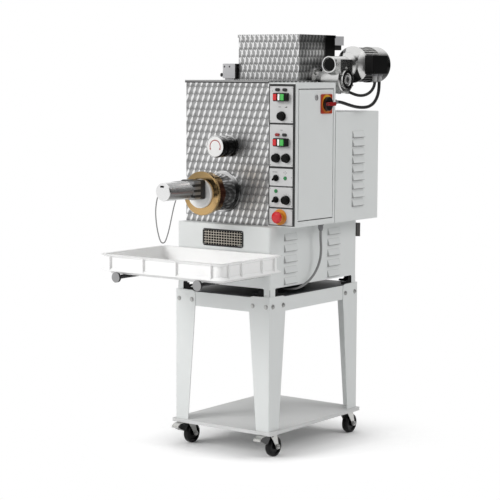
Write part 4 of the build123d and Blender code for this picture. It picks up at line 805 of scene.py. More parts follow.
def build(name: str, shape: Shape, finish: Finish, body: str = "frame", *, slot: str) -> None:
    """Make a finished object from a shape.

    Doubled points are merged, so poles and seams close, and faces are turned outwards.  Edges over
    CREASE stay sharp.

    Args:
        name: the object's name.
        shape: the shape, in machine millimetres.
        finish: its finish.
        body: the packed body that it rides on.
        slot: the record's material slot that it takes its finish from.
    """
    mesh = bpy.data.meshes.new(name)
    mesh.from_pydata(to_row(shape.points).tolist(), [],
                     [face for group in shape.faces for face in group.tolist()])
    work = bmesh.new()
    work.from_mesh(mesh)
    bmesh.ops.remove_doubles(work, verts=work.verts, dist=SAME_PLACE)
    bmesh.ops.recalc_face_normals(work, faces=work.faces)
    work.to_mesh(mesh)
    work.free()
    mesh.shade_smooth()
    mesh.set_sharp_from_angle(angle=CREASE)
    mesh.materials.append(finish.material())
    piece = bpy.data.objects.new(name, mesh)
    bpy.context.scene.collection.objects.link(piece)
    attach(piece, body)
    log.info("%s: %d faces on %s", name, len(mesh.polygons), body)


@dataclass
class Assembly:
    """A group of packed nodes with the small pieces that go on them."""

    nodes: Mapping[str, bpy.types.Object]

    def dress(self, finish: Finish, *names: str) -> None:
        """Give packed nodes a finish.

        Args:
            finish: the finish.
            names: the nodes.
        """
        for name in names:
            mesh = self.nodes[name].data
            mesh.materials.clear()
            mesh.materials.append(finish.material())
        log.info("%s on %s", finish.name, ", ".join(names))


# -------------------------------------------------------------------------------------------- cords
class Stiffness(Enum):
    """How a cord bends."""

    LIMP = "limp"
    MEDIUM = "medium"
    STIFF = "stiff"


@dataclass(frozen=True)
class Cord:
    """A cable along its resting route."""

    name: str
    route: tuple[Point, ...]
    diameter: float
    length: float
    finish: Finish
    slot: str
    stiffness: Stiffness = Stiffness.MEDIUM

    def lay(self) -> None:
        """Make the cord: a smooth spline with the route's points as its control points."""
        curve = bpy.data.curves.new(self.name, "CURVE")
        curve.dimensions = "3D"
        curve.bevel_depth = self.diameter / 2 * MM
        curve.bevel_resolution, curve.resolution_u = 5, 12
        curve.use_fill_caps = True
        spline = curve.splines.new("NURBS")
        spline.points.add(len(self.route) - 1)
        points = to_row(self.route)
        spline.points.foreach_set("co", np.hstack((points, np.ones((len(points), 1)))).ravel())
        spline.order_u, spline.use_endpoint_u = 3, True
        curve.materials.append(self.finish.material())
        cord = bpy.data.objects.new(self.name, curve)
        bpy.context.scene.collection.objects.link(cord)
        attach(cord, "frame")
        node = self.name.removesuffix("_run")
        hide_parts(node)
        log.info("%s: %d points", self.name, len(points))


CORDS = (
    Cord("cutter_lead_run", (
        (-77, -462, 1087), (-77, -498, 1087), (-77, -545, 1085), (-76, -583, 1077), (-76, -610, 1058),
        (-77, -624, 1025), (-77, -632, 985), (-77, -629, 945), (-76, -622, 908), (-75, -616, 888),
        (-73, -611, 870), (-71, -602, 857), (-68, -588, 857), (-65, -579, 876), (-62, -569, 906),
        (-61, -558, 942), (-61, -546, 978), (-62, -534, 1006), (-63, -520, 1027), (-63, -500, 1027)),
        4.5, 578, Paint.GREY_SHEATH, "lead_grey", Stiffness.LIMP),
    Cord("base_cable_run", (
        (268, -18, 882), (268, -18, 850), (267, -12, 812), (265, -12, 772), (262, -26, 736),
        (257, -52, 702), (246, -84, 675), (226, -112, 657), (195, -124, 651), (160, -120, 652),
        (126, -100, 662), (98, -68, 684), (77, -30, 712), (65, 6, 735), (60, 38, 745), (60, 65, 745)),
        10, 584, Paint.GREY_SHEATH, "lead_grey"),
    Cord("motor_cable_run", (
        (345, 284, 1472), (345, 284, 1440), (345, 271, 1409), (344, 247, 1385), (341.5, 216, 1372),
        (336.5, 186, 1368.5), (328, 156, 1369.5), (318, 127, 1375), (307, 101, 1383), (299, 79.5, 1389.5),
        (296, 62, 1392), (296, 48, 1392)), 13, 310, Paint.BLACK_SHEATH, "cable_black", Stiffness.STIFF),
    Cord("sensor_cable_run", (
        (345, 250, 1472), (345, 250, 1459), (337.5, 244, 1437.5), (324, 233.5, 1422), (306.5, 220.5, 1415),
        (289, 207, 1416.5), (272, 195.5, 1424), (257.5, 188, 1431.5), (241, 182.5, 1437.5),
        (223.5, 180, 1441), (213, 180, 1441)), 12, 190, Paint.BLACK_SHEATH, "cable_black", Stiffness.STIFF),
)


# ------------------------------------------------------------------------------------------- louvres
@dataclass(frozen=True)
class Louvres:
    """A column of pressed louvres in a wall."""

    top: float  # the height of the first hood's top
    pitch: float
    rows: int
    half_width: float = 43.5
    # the grey of the painted shade
    look: Look = grey(0.40, 0.5)

    def shade(self, out: Wire, along: Wire, z: Wire) -> Wire:
        """How shaded the column is: along the mouths' lips, the hoods' ends and their tops.

        Args:
            out: how far a point stands out of the wall.
            along: its place along the wall from the column's middle.
            z: its height.

        Returns:
            1 in the full shade of the lips, less at ends and tops, 0 elsewhere.
        """
        below = ((self.top - z) / self.pitch).fraction() * self.pitch
        column = z.between(self.top - self.pitch * self.rows + 2.0, self.top)
        near = column * (abs(along) < self.half_width) * (out > -0.2)
        lip = below.between(25.2, 29.6) * 0.8
        end = along.between(-self.half_width, -40.0) * below.between(1.5, 29.0) * 0.55
        edge = below.between(0.0, 2.2) * 0.25
        return near * lip.either(end).either(edge)


# --------------------------------------------------------------------------------------------- stand
@dataclass
class Stand(Assembly):
    """The legs, rails, shelf and casters."""

    bolt_drop: float = 38.0  # bolts below the leg's top
    front_bolts: tuple[float, float] = (17.0, 81.0)  # in from the leg's corner
    side_bolts: tuple[float, float] = (22.0, 92.0)
    fork_half: float = 21.0  # from the fork's middle to the outside of a cheek
    toe_width: float = 33.0
    toe_sheet: float = 1.5

    def finish(self) -> None:
        """Dress the packed nodes and add the small pieces."""
        self.dress(Paint.WHITE_COAT, "legs", "rails")
        self.dress(Paint.SHELF_COAT, "shelf")
        self.dress(Paint.ZINC, "caster_plates")
        self.bolts()
        for corner in ("front_left", "front_right", "back_left", "back_right"):
            self.dress(Paint.ZINC, f"caster_fork_{corner}")
            self.dress(Paint.TYRE, f"caster_wheel_{corner}")
            self.axle_nuts(corner)
        for corner in ("front_left", "front_right"):
            self.dress(Paint.GLOSS_BLACK, f"caster_pedal_{corner}")
            self.toe_plate(corner)

    def bolts(self) -> None:
        """Hexagon bolts through legs and rails, two on each face of each leg."""
        low, high = node_box("legs")
        height = high[2] - self.bolt_drop
        heads = [hex_bolt(facing).at([(way * (high[0] - gap), edge, height)
                                      for way in (-1, 1) for gap in self.front_bolts])
                 for facing, edge in ((Facing.FRONT, low[1]), (Facing.BACK, high[1]))]
        heads += [hex_bolt(facing).at([(edge, way * (high[1] - gap), height)
                                       for way in (-1, 1) for gap in self.side_bolts])
                  for facing, edge in ((Facing.LEFT, low[0]), (Facing.RIGHT, high[0]))]
        build("leg_bolts", joined(heads), Paint.BOLT, slot="zinc")

    def axle_nuts(self, corner: str) -> None:
        """A nut with its thread end on both sides of a fork.

        Args:
            corner: the caster's corner.
        """
        _, y, z = node_middle(f"caster_wheel_{corner}")
        middle = node_middle(f"caster_fork_{corner}")[0]
        nut = ((0, 0, 0), (0, 10.6, 0), (1, 10.6, 0), (1, 9.8, 1), (6.0, 9.8, 1), (7.0, 8.4, 0.3),
               (7.0, 5.2, 0), (9.5, 5.0, 0), (10.0, 4.2, 0), (10.0, 0, 0))
        shapes = [turned(nut, (middle + way * self.fork_half, y, z), facing, SCREW_SIDES)
                  for way, facing in ((-1, Facing.LEFT), (1, Facing.RIGHT))]
        build(f"axle_nuts_{corner}", joined(shapes), Paint.BOLT, f"caster_fork_{corner}", slot="zinc")

    def toe_plate(self, corner: str) -> None:
        """A plated sheet that follows the top of a brake pedal.

        Args:
            corner: the caster's corner.
        """
        low, high = node_box(f"caster_pedal_{corner}")
        line = np.array((low[1], high[2])) + ((84, -5), (66, -5), (54, 0), (14, -2), (0, -10), (-1, -17))
        line = eased(line, 5.0)
        outline = np.vstack((line, line[::-1] + (0, self.toe_sheet)))
        left = (low[0] + high[0]) / 2 - self.toe_width / 2
        build(f"toe_plate_{corner}", slab(outline[::-1], (left, 0, 0), Facing.RIGHT, self.toe_width),
              Paint.ZINC, f"caster_pedal_{corner}", slot="zinc")


# ---------------------------------------------------------------------------------- casing and drive
@dataclass
class Casing(Assembly):
    """The base casing with its grille, fan, rear door and drive, the rods and the tray."""

    half_width: float = 229.0
    half_depth: float = 308.0
    top: float = 912.0
    corner: float = 10.0
    sheet: float = 1.5
    louvres: Louvres = Louvres(top=881.0, pitch=43.0, rows=5)
    louvre_columns: tuple[float, float] = (-172.0, 134.0)
    grille_border: float = 6.0
    grille_pitch: tuple[float, float] = (193.4 / 15, 61.4 / 6)
    bar_line: float = 1.15  # half the width of the pale line on a grille bar
    latch_width: float = 60.0
    latch_face: float = 310.4  # the latch stands out behind this
    bracket_gap: float = 2.5  # from the casing's outside to a foot bracket
    bracket_sheet: float = 3.0
    tongues: tuple[float, float] = (82.0, 104.0)  # a bracket's reach along the front and the side

    def finish(self) -> None:
        """Dress the packed nodes and add the small pieces."""
        self.dress(self.coat(), "base_casing")
        self.dress(self.grille(), "fan_grille")
        self.dress(Paint.BLACK, "fan_rotor")
        self.dress(self.door(), "rear_door")
        self.dress(Paint.ROD, "tray_rods")
        self.dress(Paint.TRAY, "tray")
        self.dress(Paint.MOTOR, "main_motor")
        self.dress(Paint.IRON, "motor_pulley")
        self.dress(Paint.BELT, "drive_belt")
        self.brackets()
        self.screws()

    def coat(self) -> Finish:
        """White coat outside, bare dark steel inside, and shaded louvre mouths.

        Returns:
            The finish.
        """
        half_x, half_y = self.half_width - self.corner, self.half_depth - self.corner

        def inside(x: Wire, y: Wire, z: Wire) -> Wire:
            """1 within the sheet: the distance from the corners' centres is under the inner radius."""
            out_x, out_y = (abs(x) - half_x).either(0.0), (abs(y) - half_y).either(0.0)
            reach = (out_x * out_x + out_y * out_y).root()
            return (reach < self.corner - self.sheet / 2) * (z < self.top - self.sheet / 2)

        def mouths(x: Wire, y: Wire, z: Wire) -> Wire:
            """1 on both columns' shaded rims."""
            first, second = (self.louvres.shade(abs(x) - self.half_width, y - column, z)
                             for column in self.louvre_columns)
            return first.either(second)

        # painted shade: grey on the louvres' rims and near black on the inside faces
        return Paint.WHITE_COAT.marked("casing_coat", Zone(self.louvres.look, mouths),
                                       Zone(grey(0.02, 0.6), inside))

    def grille(self) -> Finish:
        """The grille: a dark rounded frame round pale bars.

        Returns:
            The finish.
        """
        low, high = node_box("fan_grille")
        half_x, _, half_z = (high - low) / 2 - self.grille_border
        middle, face = (low[2] + high[2]) / 2, low[1] + 1.0
        pitch_x, pitch_z = self.grille_pitch

        def lines(x: Wire, y: Wire, z: Wire) -> Wire:
            """1 on a narrow line down the middle of each bar's front."""
            rise = z - middle
            upright = abs((x / pitch_x).fraction() - 0.5) < self.bar_line / pitch_x
            level = abs((rise / pitch_z + 0.5).fraction() - 0.5) < self.bar_line / pitch_z
            return upright.either(level) * (abs(x) < half_x) * (abs(rise) < half_z) * (y < face)

        return Finish("grille_bars", grey(0.015, 0.4), Grain.MOULDED, 0.5, (
            Zone(Look((0.52, 0.48, 0.41), 0.40), lines),))

    def door(self) -> Finish:
        """The rear door's white coat with a plated latch."""
        edge = node_box("rear_door")[1][0] - self.latch_width
        return Paint.WHITE_COAT.marked("rear_door_coat", Zone(
            Look((0.16, 0.155, 0.15), 0.3, 1.0), lambda x, y, z: (x > edge) * (y > self.latch_face)))

    def brackets(self) -> None:
        """Dark angle brackets inside the casing's feet, with low tongues that lie on the rails."""
        base = node_box("base_casing")[0][2] + 0.5
        right, back = self.half_width - self.bracket_gap, self.half_depth - self.bracket_gap
        outlines = [np.array(((0, 0), (tongue, 0), (tongue - 4, 8), (60, 9), (54, 14), (54, 27), (0, 27)),
                             float) for tongue in self.tongues]
        front = slab(outlines[0] * (-1, 1) + (right, base), (0, -back, 0), Facing.FRONT,
                     -self.bracket_sheet)
        side = slab(outlines[1] + (-back, base), (right, 0, 0), Facing.RIGHT, -self.bracket_sheet)
        corner = front + side
        corners = [Shape(corner.points * (x, y, 1), corner.faces) for x in (-1, 1) for y in (-1, 1)]
        build("foot_brackets", joined(corners), Paint.BLACK, slot="switch_black")

    def screws(self) -> None:
        """Screws at the grille's corners and round the body's back sheet."""
        middle, face = node_middle("fan_grille"), node_box("fan_grille")[0][1] - 0.2
        corners = [(middle[0] + x * 94.5, face, middle[2] + z * 28.5) for x in (-1, 1) for z in (-1, 1)]
        left, back = node_box("body_shell")[0][0], node_box("rear_box")[1][1]
        rear = [(left + inset, back, z) for inset in (14, 190) for z in (930, 1130, 1335)]
        build("sheet_screws", socket_screw(Facing.FRONT, 4.6).at(corners)
              + socket_screw(Facing.BACK, 9.0).at(rear), Paint.BOLT, slot="zinc")


# ------------------------------------------------------------------------------------------ extruder
@dataclass
class Head(Assembly):
    """The extruder's head, the cutter and the gate knob.  Axes are (x, z)."""

    screw_axis: tuple[float, float] = (-32.0, 1038.0)
    collar_radius: float = 83.0
    nut_front: float = 17.0  # the depth of the ring nut's plain front
    nut_radius: float = 82.0
    tube_axis: tuple[float, float] = (-38.0, 1056.0)
    tube_left: float = -72.0
    tube_length: float = 147.0
    block_end: float = 187.0  # from the tube's front to the plate behind the gear block
    band_pitch: float = 21.0
    slot_rise: float = 20.5
    knob_face_radius: float = 39.5
    arc_radius: float = 25.0
    arc_width: float = 3.6
    arc_start: float = -22.0  # degrees
    arc_end: float = 202.0
    dot: float = 6.4

    def finish(self) -> None:
        """Dress the packed nodes and add the knob's face."""
        low, high = node_box("gate_knob")
        knob_axis = (low + high)[[0, 2]] / 2
        # painted shade and dark reflection on the far sides of the chamber and the knob
        self.dress(self.rounded(Paint.CHROME, "extrusion_chamber", self.screw_axis, self.collar_radius,
                                0.13), "extrusion_chamber")
        self.dress(Paint.CHROME, "cutter_knife")
        self.dress(self.brass(), "ring_nut")
        self.dress(Paint.DIE, "die")
        self.dress(self.cutter(), "cutter_motor")
        self.dress(self.rounded(Paint.KNOB_CHROME, "gate_knob", knob_axis, (high[0] - low[0]) / 2,
                                0.008), "gate_knob")
        self.dress(Paint.LID_STEEL, "extruder_screw")
        self.knob_face(knob_axis, low[1])
        self.tube_slot()

    def rounded(self, finish: Finish, node: str, axis: Sequence[float], radius: float,
                tone: float) -> Finish:
        """A finish that darkens towards the right and the floor, as a round piece's unlit side does.

        Args:
            finish: the finish.
            node: the packed node that it is for.
            axis: the x and z of the round's middle.
            radius: its radius.
            tone: the grey of the dark side.

        Returns:
            The darkened finish.
        """
        def far_side(x: Wire, y: Wire, z: Wire) -> Wire:
            """1 on the side away from the light, with a soft edge."""
            right, up = (x - axis[0]) / radius, (z - axis[1]) / radius
            return right.rise(-0.25, 0.35) * (1.0 - up.rise(0.30, 0.80))

        look = replace(finish.look, colour=(tone,) * 3)
        return finish.marked(f"{finish.name}_{node}", Zone(look, far_side))

    def brass(self) -> Finish:
        """The ring nut's brass, with the browns that its grip mirrors.

        Returns:
            The finish.
        """
        middle, grip = node_middle("ring_nut"), node_box("ring_nut")[0][1] + self.nut_front

        def brown(x: Wire, y: Wire, z: Wire) -> Wire:
            """1 on the grip at the axis' height, with a soft edge."""
            return (1.0 - (abs(z - middle[2]) / self.nut_radius).rise(0.40, 0.85)) * (y > grip)

        def olive(x: Wire, y: Wire, z: Wire) -> Wire:
            """Rises to 0.75 towards the left and the top of the front ring."""
            return ((z - x - (middle[2] - middle[0])) / 160.0).rise(-0.35, 0.75) * (y < grip) * 0.75

        return Paint.BRASS.marked("ring_brass", Zone(Look((0.07, 0.020, 0.008), 0.14, 1.0), brown),
                                  Zone(Look((0.24, 0.17, 0.085), 0.15, 1.0), olive))

    def cutter(self) -> Finish:
        """The cutter's motor: a bright tube, a gear block with level bands and a black plate behind.

        Returns:
            The finish.
        """
        front, left, axis = node_box("cutter_motor")[0][1], self.tube_left, self.tube_axis[1]
        tube_back, plate = front + self.tube_length, front + self.block_end

        def bands(x: Wire, y: Wire, z: Wire) -> Wire:
            """1 on the gear block's level bands."""
            return ((z - axis) / self.band_pitch).fraction().between(0.10, 0.62) * y.between(
                tube_back, plate)

        def tube(x: Wire, y: Wire, z: Wire) -> Wire:
            """1 on the tube."""
            return (y < tube_back) * (x > left)

        def under(x: Wire, y: Wire, z: Wire) -> Wire:
            """1 on a level shade under the tube's middle, with soft edges."""
            fades = (1.0 - z.rise(axis, axis + 18.0)) * z.rise(axis - 38.0, axis - 22.0)
            return y.between(front + 3.0, tube_back) * (x > left) * fades

        return Finish("cutter_housing", grey(0.012, 0.35), Grain.POLISHED, 0.8, (
            Zone(grey(0.34, 0.34, 0.9), bands), Zone(grey(0.90, 0.20, 1.0), tube),
            Zone(grey(0.30, 0.26, 1.0), under)))

    def tube_slot(self) -> None:
        """The small dark slot in the end of the cutter's tube."""
        place = (self.tube_axis[0], node_box("cutter_motor")[0][1], self.tube_axis[1] + self.slot_rise)
        build("cutter_slot", slab(box_outline(19, 7.5, 3.6), place, Facing.FRONT, 0.4), Paint.BLACK,
              slot="switch_black")

    def knob_face(self, axis: Sequence[float], face: float) -> None:
        """The white disc on the gate knob, with a red arc that ends in two dots.

        Args:
            axis: the x and z of the knob's middle.
            face: the y of its front.
        """
        disc = turned(((0, 0), (0, self.knob_face_radius), (0.6, self.knob_face_radius - 0.5), (0.6, 0)),
                      (axis[0], face, axis[1]), Facing.FRONT, 72)
        build("gate_knob_face", disc, Finish("knob_face_white", Look((0.82, 0.82, 0.81), 0.32)),
              "gate_knob", slot="knob_chrome")
        origin = (axis[0], face - 0.6, axis[1])
        arc = slab(arc_outline(self.arc_radius, self.arc_width, self.arc_start, self.arc_end), origin,
                   Facing.FRONT, 0.25)
        turns = np.radians((self.arc_end, self.arc_start))
        dots = self.arc_radius * np.stack((np.cos(turns), np.sin(turns)), 1)
        spots = [slab(box_outline(self.dot, self.dot, self.dot / 2, 6) + dot, origin, Facing.FRONT, 0.3)
                 for dot in dots]
        build("gate_knob_arc", joined([arc, *spots]),
              Finish("knob_mark_red", Look((0.34, 0.03, 0.02), 0.4)), "gate_knob", slot="button_red")


# ---------------------------------------------------------------------------------------- upper body
@dataclass
class Body(Assembly):
    """The engine-turned body and tub, the cabinet and the rear box."""

    box_side: float = 309.0  # the rear box's right wall
    box_middle: float = 187.0
    box_louvres: Louvres = Louvres(top=1275.0, pitch=34.6, rows=9)
    gland_top: float = 911.5  # of the gland under the boxes
    lock_middle: float = -117.0

    def finish(self) -> None:
        """Dress the packed nodes and add collars and screws."""
        self.dress(Paint.TURNED_BODY, "body_shell")
        self.dress(Paint.LID_STEEL, "mixer_shaft")
        self.dress(Paint.COVER_STEEL, "top_cover")
        self.dress(Paint.TURNED_TUB, "hopper", "hopper_lid")
        self.dress(self.box_coat(), "cabinet", "rear_box")
        self.dress(self.door_coat(), "cabinet_door")
        self.dress(self.lock(), "door_lock")
        self.dress(self.switch_knob(), "main_switch_knob")
        self.dress(self.switch_boxes(), "hopper_switches")
        self.gland_nuts()
        self.box_screws()

    def box_coat(self) -> Finish:
        """White coat on the boxes, grey on the glands that stand out of them.

        Returns:
            The finish.
        """
        def mouths(x: Wire, y: Wire, z: Wire) -> Wire:
            """1 on the rear box's shaded louvre rims."""
            return self.box_louvres.shade(x - self.box_side, y - self.box_middle, z)

        return Paint.WHITE_COAT.marked(
            "box_coat", Zone(self.box_louvres.look, mouths),
            Zone(Paint.GLAND.look, lambda x, y, z: z < self.gland_top),
            Zone(Paint.GLAND.look, lambda x, y, z: y.between(18.4, 50.0) * (z > 1360.0)))

    def door_coat(self) -> Finish:
        """The cabinet door's white coat and the main switch's orange-red plate with a yellow field.

        Returns:
            The finish.
        """
        face = node_box("cabinet_door")[1][0] - 4.6
        _, middle_y, middle_z = node_middle("main_switch_knob")

        def disc(x: Wire, y: Wire, z: Wire) -> Wire:
            """1 on the plate's round field, with a soft edge."""
            across, up = y - middle_y, z - middle_z
            return (x > face) * (1.0 - (across * across + up * up).root().rise(30.0, 40.0))

        def upper(x: Wire, y: Wire, z: Wire) -> Wire:
            """Rises to 1 towards the field's top."""
            return disc(x, y, z) * (z - middle_z).rise(8.0, 34.0)

        return Paint.WHITE_COAT.marked(
            "door_coat", Zone(Look((0.42, 0.035, 0.012), 0.32), lambda x, y, z: x > face),
            Zone(Look((0.70, 0.22, 0.025), 0.34), disc), Zone(Look((0.85, 0.50, 0.03), 0.34), upper))

    def lock(self) -> Finish:
        """The plated lock with its dark slot."""
        return Finish("lock_plate", grey(0.45, 0.35, 0.3), Grain.POLISHED, 0.4, (
            Zone(grey(0.02, 0.5), lambda x, y, z: (abs(y - self.lock_middle) < 1.6) * (x > 310.0)),))

    def switch_knob(self) -> Finish:
        """The main switch's dark disc under its red handle."""
        handle = node_box("main_switch_knob")[1][0] - 14.6
        return Finish("main_switch_red", Look((0.006, 0.002, 0.002), 0.34), Grain.MOULDED, 1.0, (
            Zone(Look((0.28, 0.010, 0.010), 0.26, coat=0.2), lambda x, y, z: x > handle),))

    def switch_boxes(self) -> Finish:
        """Grey switch housings, with the latch box's black strip and knob and a black switch body."""
        black = grey(0.008, 0.4)
        return Finish("switch_housings", Look((0.52, 0.52, 0.53), 0.42), Grain.POWDER, 0.9, (
            Zone(black, lambda x, y, z: (x < 0.0) * (x > -154.4)),
            Zone(black, lambda x, y, z: x < -217.6),
            Zone(black, lambda x, y, z: (x > 0.0) * (z < 1619.2))))

    def box_screws(self) -> None:
        """Two small dark screws at the top of the latch box's front."""
        places = [(x, node_box("hopper_switches")[0][1], 1530.0) for x in (-208.0, -182.0)]
        build("latch_box_screws", socket_screw(Facing.FRONT, 7.0).at(places), Paint.MARK,
              slot="switch_black")

    def gland_nuts(self) -> None:
        """Hexagon collars round the cable glands."""
        nut = ((0, 13.2, 0), (0, 15.4, 1), (6.4, 15.4, 1), (7.4, 14.0, 0.4), (7.4, 10.2, 0), (0, 13.2, 0))
        places = (((268, -18, 912), Facing.BOTTOM), ((296, 18, 1392), Facing.BACK),
                  ((183, 180, 1441), Facing.RIGHT), ((345, 250, 1502), Facing.BOTTOM),
                  ((345, 284, 1502), Facing.BOTTOM), ((60, 95, 745), Facing.FRONT))
        build("gland_nuts", joined([turned(nut, place, facing, 36) for place, facing in places]),
              Paint.GLAND, slot="cable_black")


# ------------------------------------------------------------------------------------- control panel
@dataclass
class Panel(Assembly):
    """The control panel with its switches, knobs and lamps."""

    plate_face: float = -262.0
    plate_middle: float = 245.0
    plate_half: float = 54.5
    plate_spans: tuple[tuple[float, float], ...] = (
        (1315, 1455), (1147, 1308), (1072, 1139), (989, 1067), (920, 983))
    lamp_face: float = -262.3
    lamp_half: tuple[float, float] = (12.0, 9.0)
    ring_top: float = 984.0

    def finish(self) -> None:
        """Dress the packed nodes and add the marks and screws."""
        self.dress(self.face(), "control_panel")
        self.dress(self.housings(), "switch_blocks")
        self.dress(Paint.RED, "mixer_stop_button", "extruder_stop_button", "estop_button")
        self.dress(Paint.GREEN, "mixer_start_button", "extruder_start_button")
        self.dress(Paint.BLACK, "feed_knob", "mix_knob", "cut_knob", "fan_knob",
                   "mode_selector", "fan_selector")
        self.marks()
        self.screws()

    def face(self) -> Finish:
        """White plates on a black frame, with dark, red and green lamps and the yellow stop ring.

        Returns:
            The finish.
        """
        def plates(x: Wire, y: Wire, z: Wire) -> Wire:
            """1 on the plates."""
            inside = z.between(*self.plate_spans[0])
            for span in self.plate_spans[1:]:
                inside = inside.either(z.between(*span))
            return inside * (y < self.plate_face + 1.8) * (abs(x - self.plate_middle) < self.plate_half)

        def lamp(place_x: float, place_z: float) -> Callable[[Wire, Wire, Wire], Wire]:
            """A mask of the lamp at a place."""
            half_x, half_z = self.lamp_half
            return lambda x, y, z: ((y < self.lamp_face) * (abs(x - place_x) < half_x)
                                    * (abs(z - place_z) < half_z))

        dark = grey(0.02, 0.2)
        red, green = Look((0.30, 0.01, 0.01), 0.15, coat=0.5), Look((0.01, 0.20, 0.05), 0.15, coat=0.5)
        lamps = ((227.0, 1442.0, dark), (261.0, 1442.0, dark), (227.0, 1269.0, red),
                 (261.0, 1269.0, dark), (265.0, 1102.0, green), (222.0, 1051.0, green))
        return Finish("panel_face", grey(0.02, 0.35), Grain.POWDER, 0.5, (
            Zone(grey(0.60, 0.38), plates), *(Zone(look, lamp(x, z)) for x, z, look in lamps),
            Zone(Look((0.72, 0.27, 0.025), 0.34),
                 lambda x, y, z: (y < self.lamp_face) * (z < self.ring_top))))

    def housings(self) -> Finish:
        """Black switch housings with the pale lens between their buttons."""
        return Finish("switch_housing", grey(0.006, 0.30), Grain.MOULDED, 0.6, (
            Zone(Look((0.92, 0.96, 0.93), 0.25, coat=0.3),
                 lambda x, y, z: x.between(243.0, 252.0) * (y < -284.4)),), ior=1.3)

    def marks(self) -> None:
        """Plain printed marks: dashes, a widening bar, dots, and ticks round the lowest selector."""
        def mark(outline: Array, x: float, z: float) -> Shape:
            """A thin mark at a place on the plates."""
            return slab(outline + (x, z), (0.0, self.plate_face, 0.0), Facing.FRONT, 0.2)

        dash, dot = box_outline(11, 1.8, 0.6, 2), box_outline(3.2, 3.2, 1.6, 4)
        wedge = np.array(((-7, -2.6), (6, -2.6), (6, 3.4)), float)
        bars = [mark(dash, x, z) for x, z in ((237, 1376), (246, 1287), (222, 1125), (210, 1125))]
        dots = [mark(dot, x, z)
                for x, z in ((202, 1437), (265, 1119), (271, 1123), (265, 1127), (259, 1123), (199, 944))]
        ticks = [mark(arc_outline(23.0, 3.4, turn - 1.8, turn + 1.8, 2), 270, 1018)
                 for turn in range(-40, 221, 26)]
        build("panel_marks", joined([*bars, mark(wedge, 266, 1376), *dots, *ticks]), Paint.MARK,
              slot="switch_black")

    def screws(self) -> None:
        """Small screws at the plates' edges."""
        places = [(x, self.plate_face, z) for x in (195.0, 295.0)
                  for z in (1449.0, 1321.0, 1302.0, 1153.0, 1105.0, 1061.0, 995.0, 977.0, 926.0)]
        build("panel_screws", socket_screw(Facing.FRONT, 4.0).at(places), Paint.BOLT, slot="zinc")


# ----------------------------------------------------------------------------------------- gearmotor
@dataclass
class Gearmotor(Assembly):
    """The worm gearbox and its motor over the right end of the tub."""

    wheel_axis: tuple[float, float] = (122.0, 1480.0)  # y and z
    worm_axis: tuple[float, float] = (250.0, 1540.0)  # x and z
    hub_face: float = 296.5
    bell_face: float = 226.6
    cowl_end: float = 423.0
    lid_face: float = 362.9
    # painted reflection: the dark grey that the lower halves are painted
    dark: Look = grey(0.022, 0.28, 1.0)  # what the lower half mirrors

    def finish(self) -> None:
        """Dress the packed nodes and add bolts, caps and the fan cowl's grille."""
        self.dress(self.box(), "gearbox")
        self.dress(self.motor(), "gear_motor")
        self.cover_bolts()
        self.caps()

    def box(self) -> Finish:
        """Cast alloy gearbox with a bright rim on the worm tube, a bright hub and a dark lower bell.

        Returns:
            The finish.
        """
        rim = node_box("gearbox")[0][1] + 2.0
        bright = Look((0.93, 0.93, 0.92), 0.30, 0.7)
        return Paint.ALLOY.marked(
            "gearbox_alloy",
            Zone(self.dark, lambda x, y, z: (1.0 - (z - x * 0.5).rise(1405.0, 1440.0)) * (y > 190.0)),
            Zone(bright, lambda x, y, z: y < rim), Zone(bright, lambda x, y, z: x > self.hub_face))

    def motor(self) -> Finish:
        """Alloy motor with a black terminal box and grey glands."""
        return Finish("motor_alloy", Look((0.72, 0.72, 0.71), 0.24, 1.0), Grain.CAST, 1.0, (
            Zone(self.dark, lambda x, y, z: (1.0 - z.rise(1535.0, 1580.0)) * (y > 226.0)),
            Zone(grey(0.004, 0.38), lambda x, y, z: x > 324.8),
            Zone(grey(0.42, 0.42), lambda x, y, z: (z < 1501.8) * (x > 330.0))), ior=1.3)

    def cover_bolts(self) -> None:
        """Bolts on the hub cover, the flange at the tub, the bell and the terminal box's lid."""
        worm_x, worm_z = self.worm_axis
        cover = round_axis((292.0, *self.wheel_axis), Facing.RIGHT, 46.5, 6, 30.0)
        flange = round_axis((157.0, *self.wheel_axis), Facing.RIGHT, 39.0, 4, 45.0)
        bell = round_axis((worm_x, self.bell_face, worm_z), Facing.FRONT, 62.0, 4, 45.0)
        lid = [(self.lid_face, y, z) for y in (214.0, 310.0) for z in (1510.0, 1570.0)]
        shapes = (hex_bolt(Facing.RIGHT, 8.0, 5.0, 10.0).at(cover),
                  hex_bolt(Facing.RIGHT, 8.0, 5.0, 10.0).at(flange),
                  hex_bolt(Facing.FRONT, 10.0, 6.0, 13.0).at(bell),
                  socket_screw(Facing.RIGHT, 7.0).at(lid))
        build("gearbox_bolts", joined(shapes), Paint.BOLT, slot="zinc")

    def caps(self) -> None:
        """The black seal on the hub, the worm tube's cap and the fan cowl's grille."""
        worm_x, worm_z = self.worm_axis
        seal = turned(eased(((0, 25.5), (0, 37.0), (2.4, 37.0), (2.4, 27.0), (0, 25.5)), 0.6),
                      (self.hub_face + 1.1, *self.wheel_axis), Facing.RIGHT, 64)
        cap = turned(eased(((0, 0), (0, 26.0), (1.6, 26.0), (2.6, 22.0), (2.6, 0)), 0.6),
                     (worm_x, 64.2, worm_z), Facing.FRONT, 48)
        build("gearbox_seals", seal + cap, Paint.BLACK, slot="switch_black")
        wire = 1.6
        section = np.array(((0, -wire), (wire, -1.4), (wire, 1.4), (0, wire), (-1, 0), (0, -wire)))
        rings = [turned(eased(section + (0, radius), 0.4), (worm_x, self.cowl_end - wire, worm_z),
                        Facing.BACK, 64) for radius in (14.0, 24.0, 34.0, 44.0)]
        build("cowl_grille", joined(rings), Paint.BOLT, slot="gear_alloy")


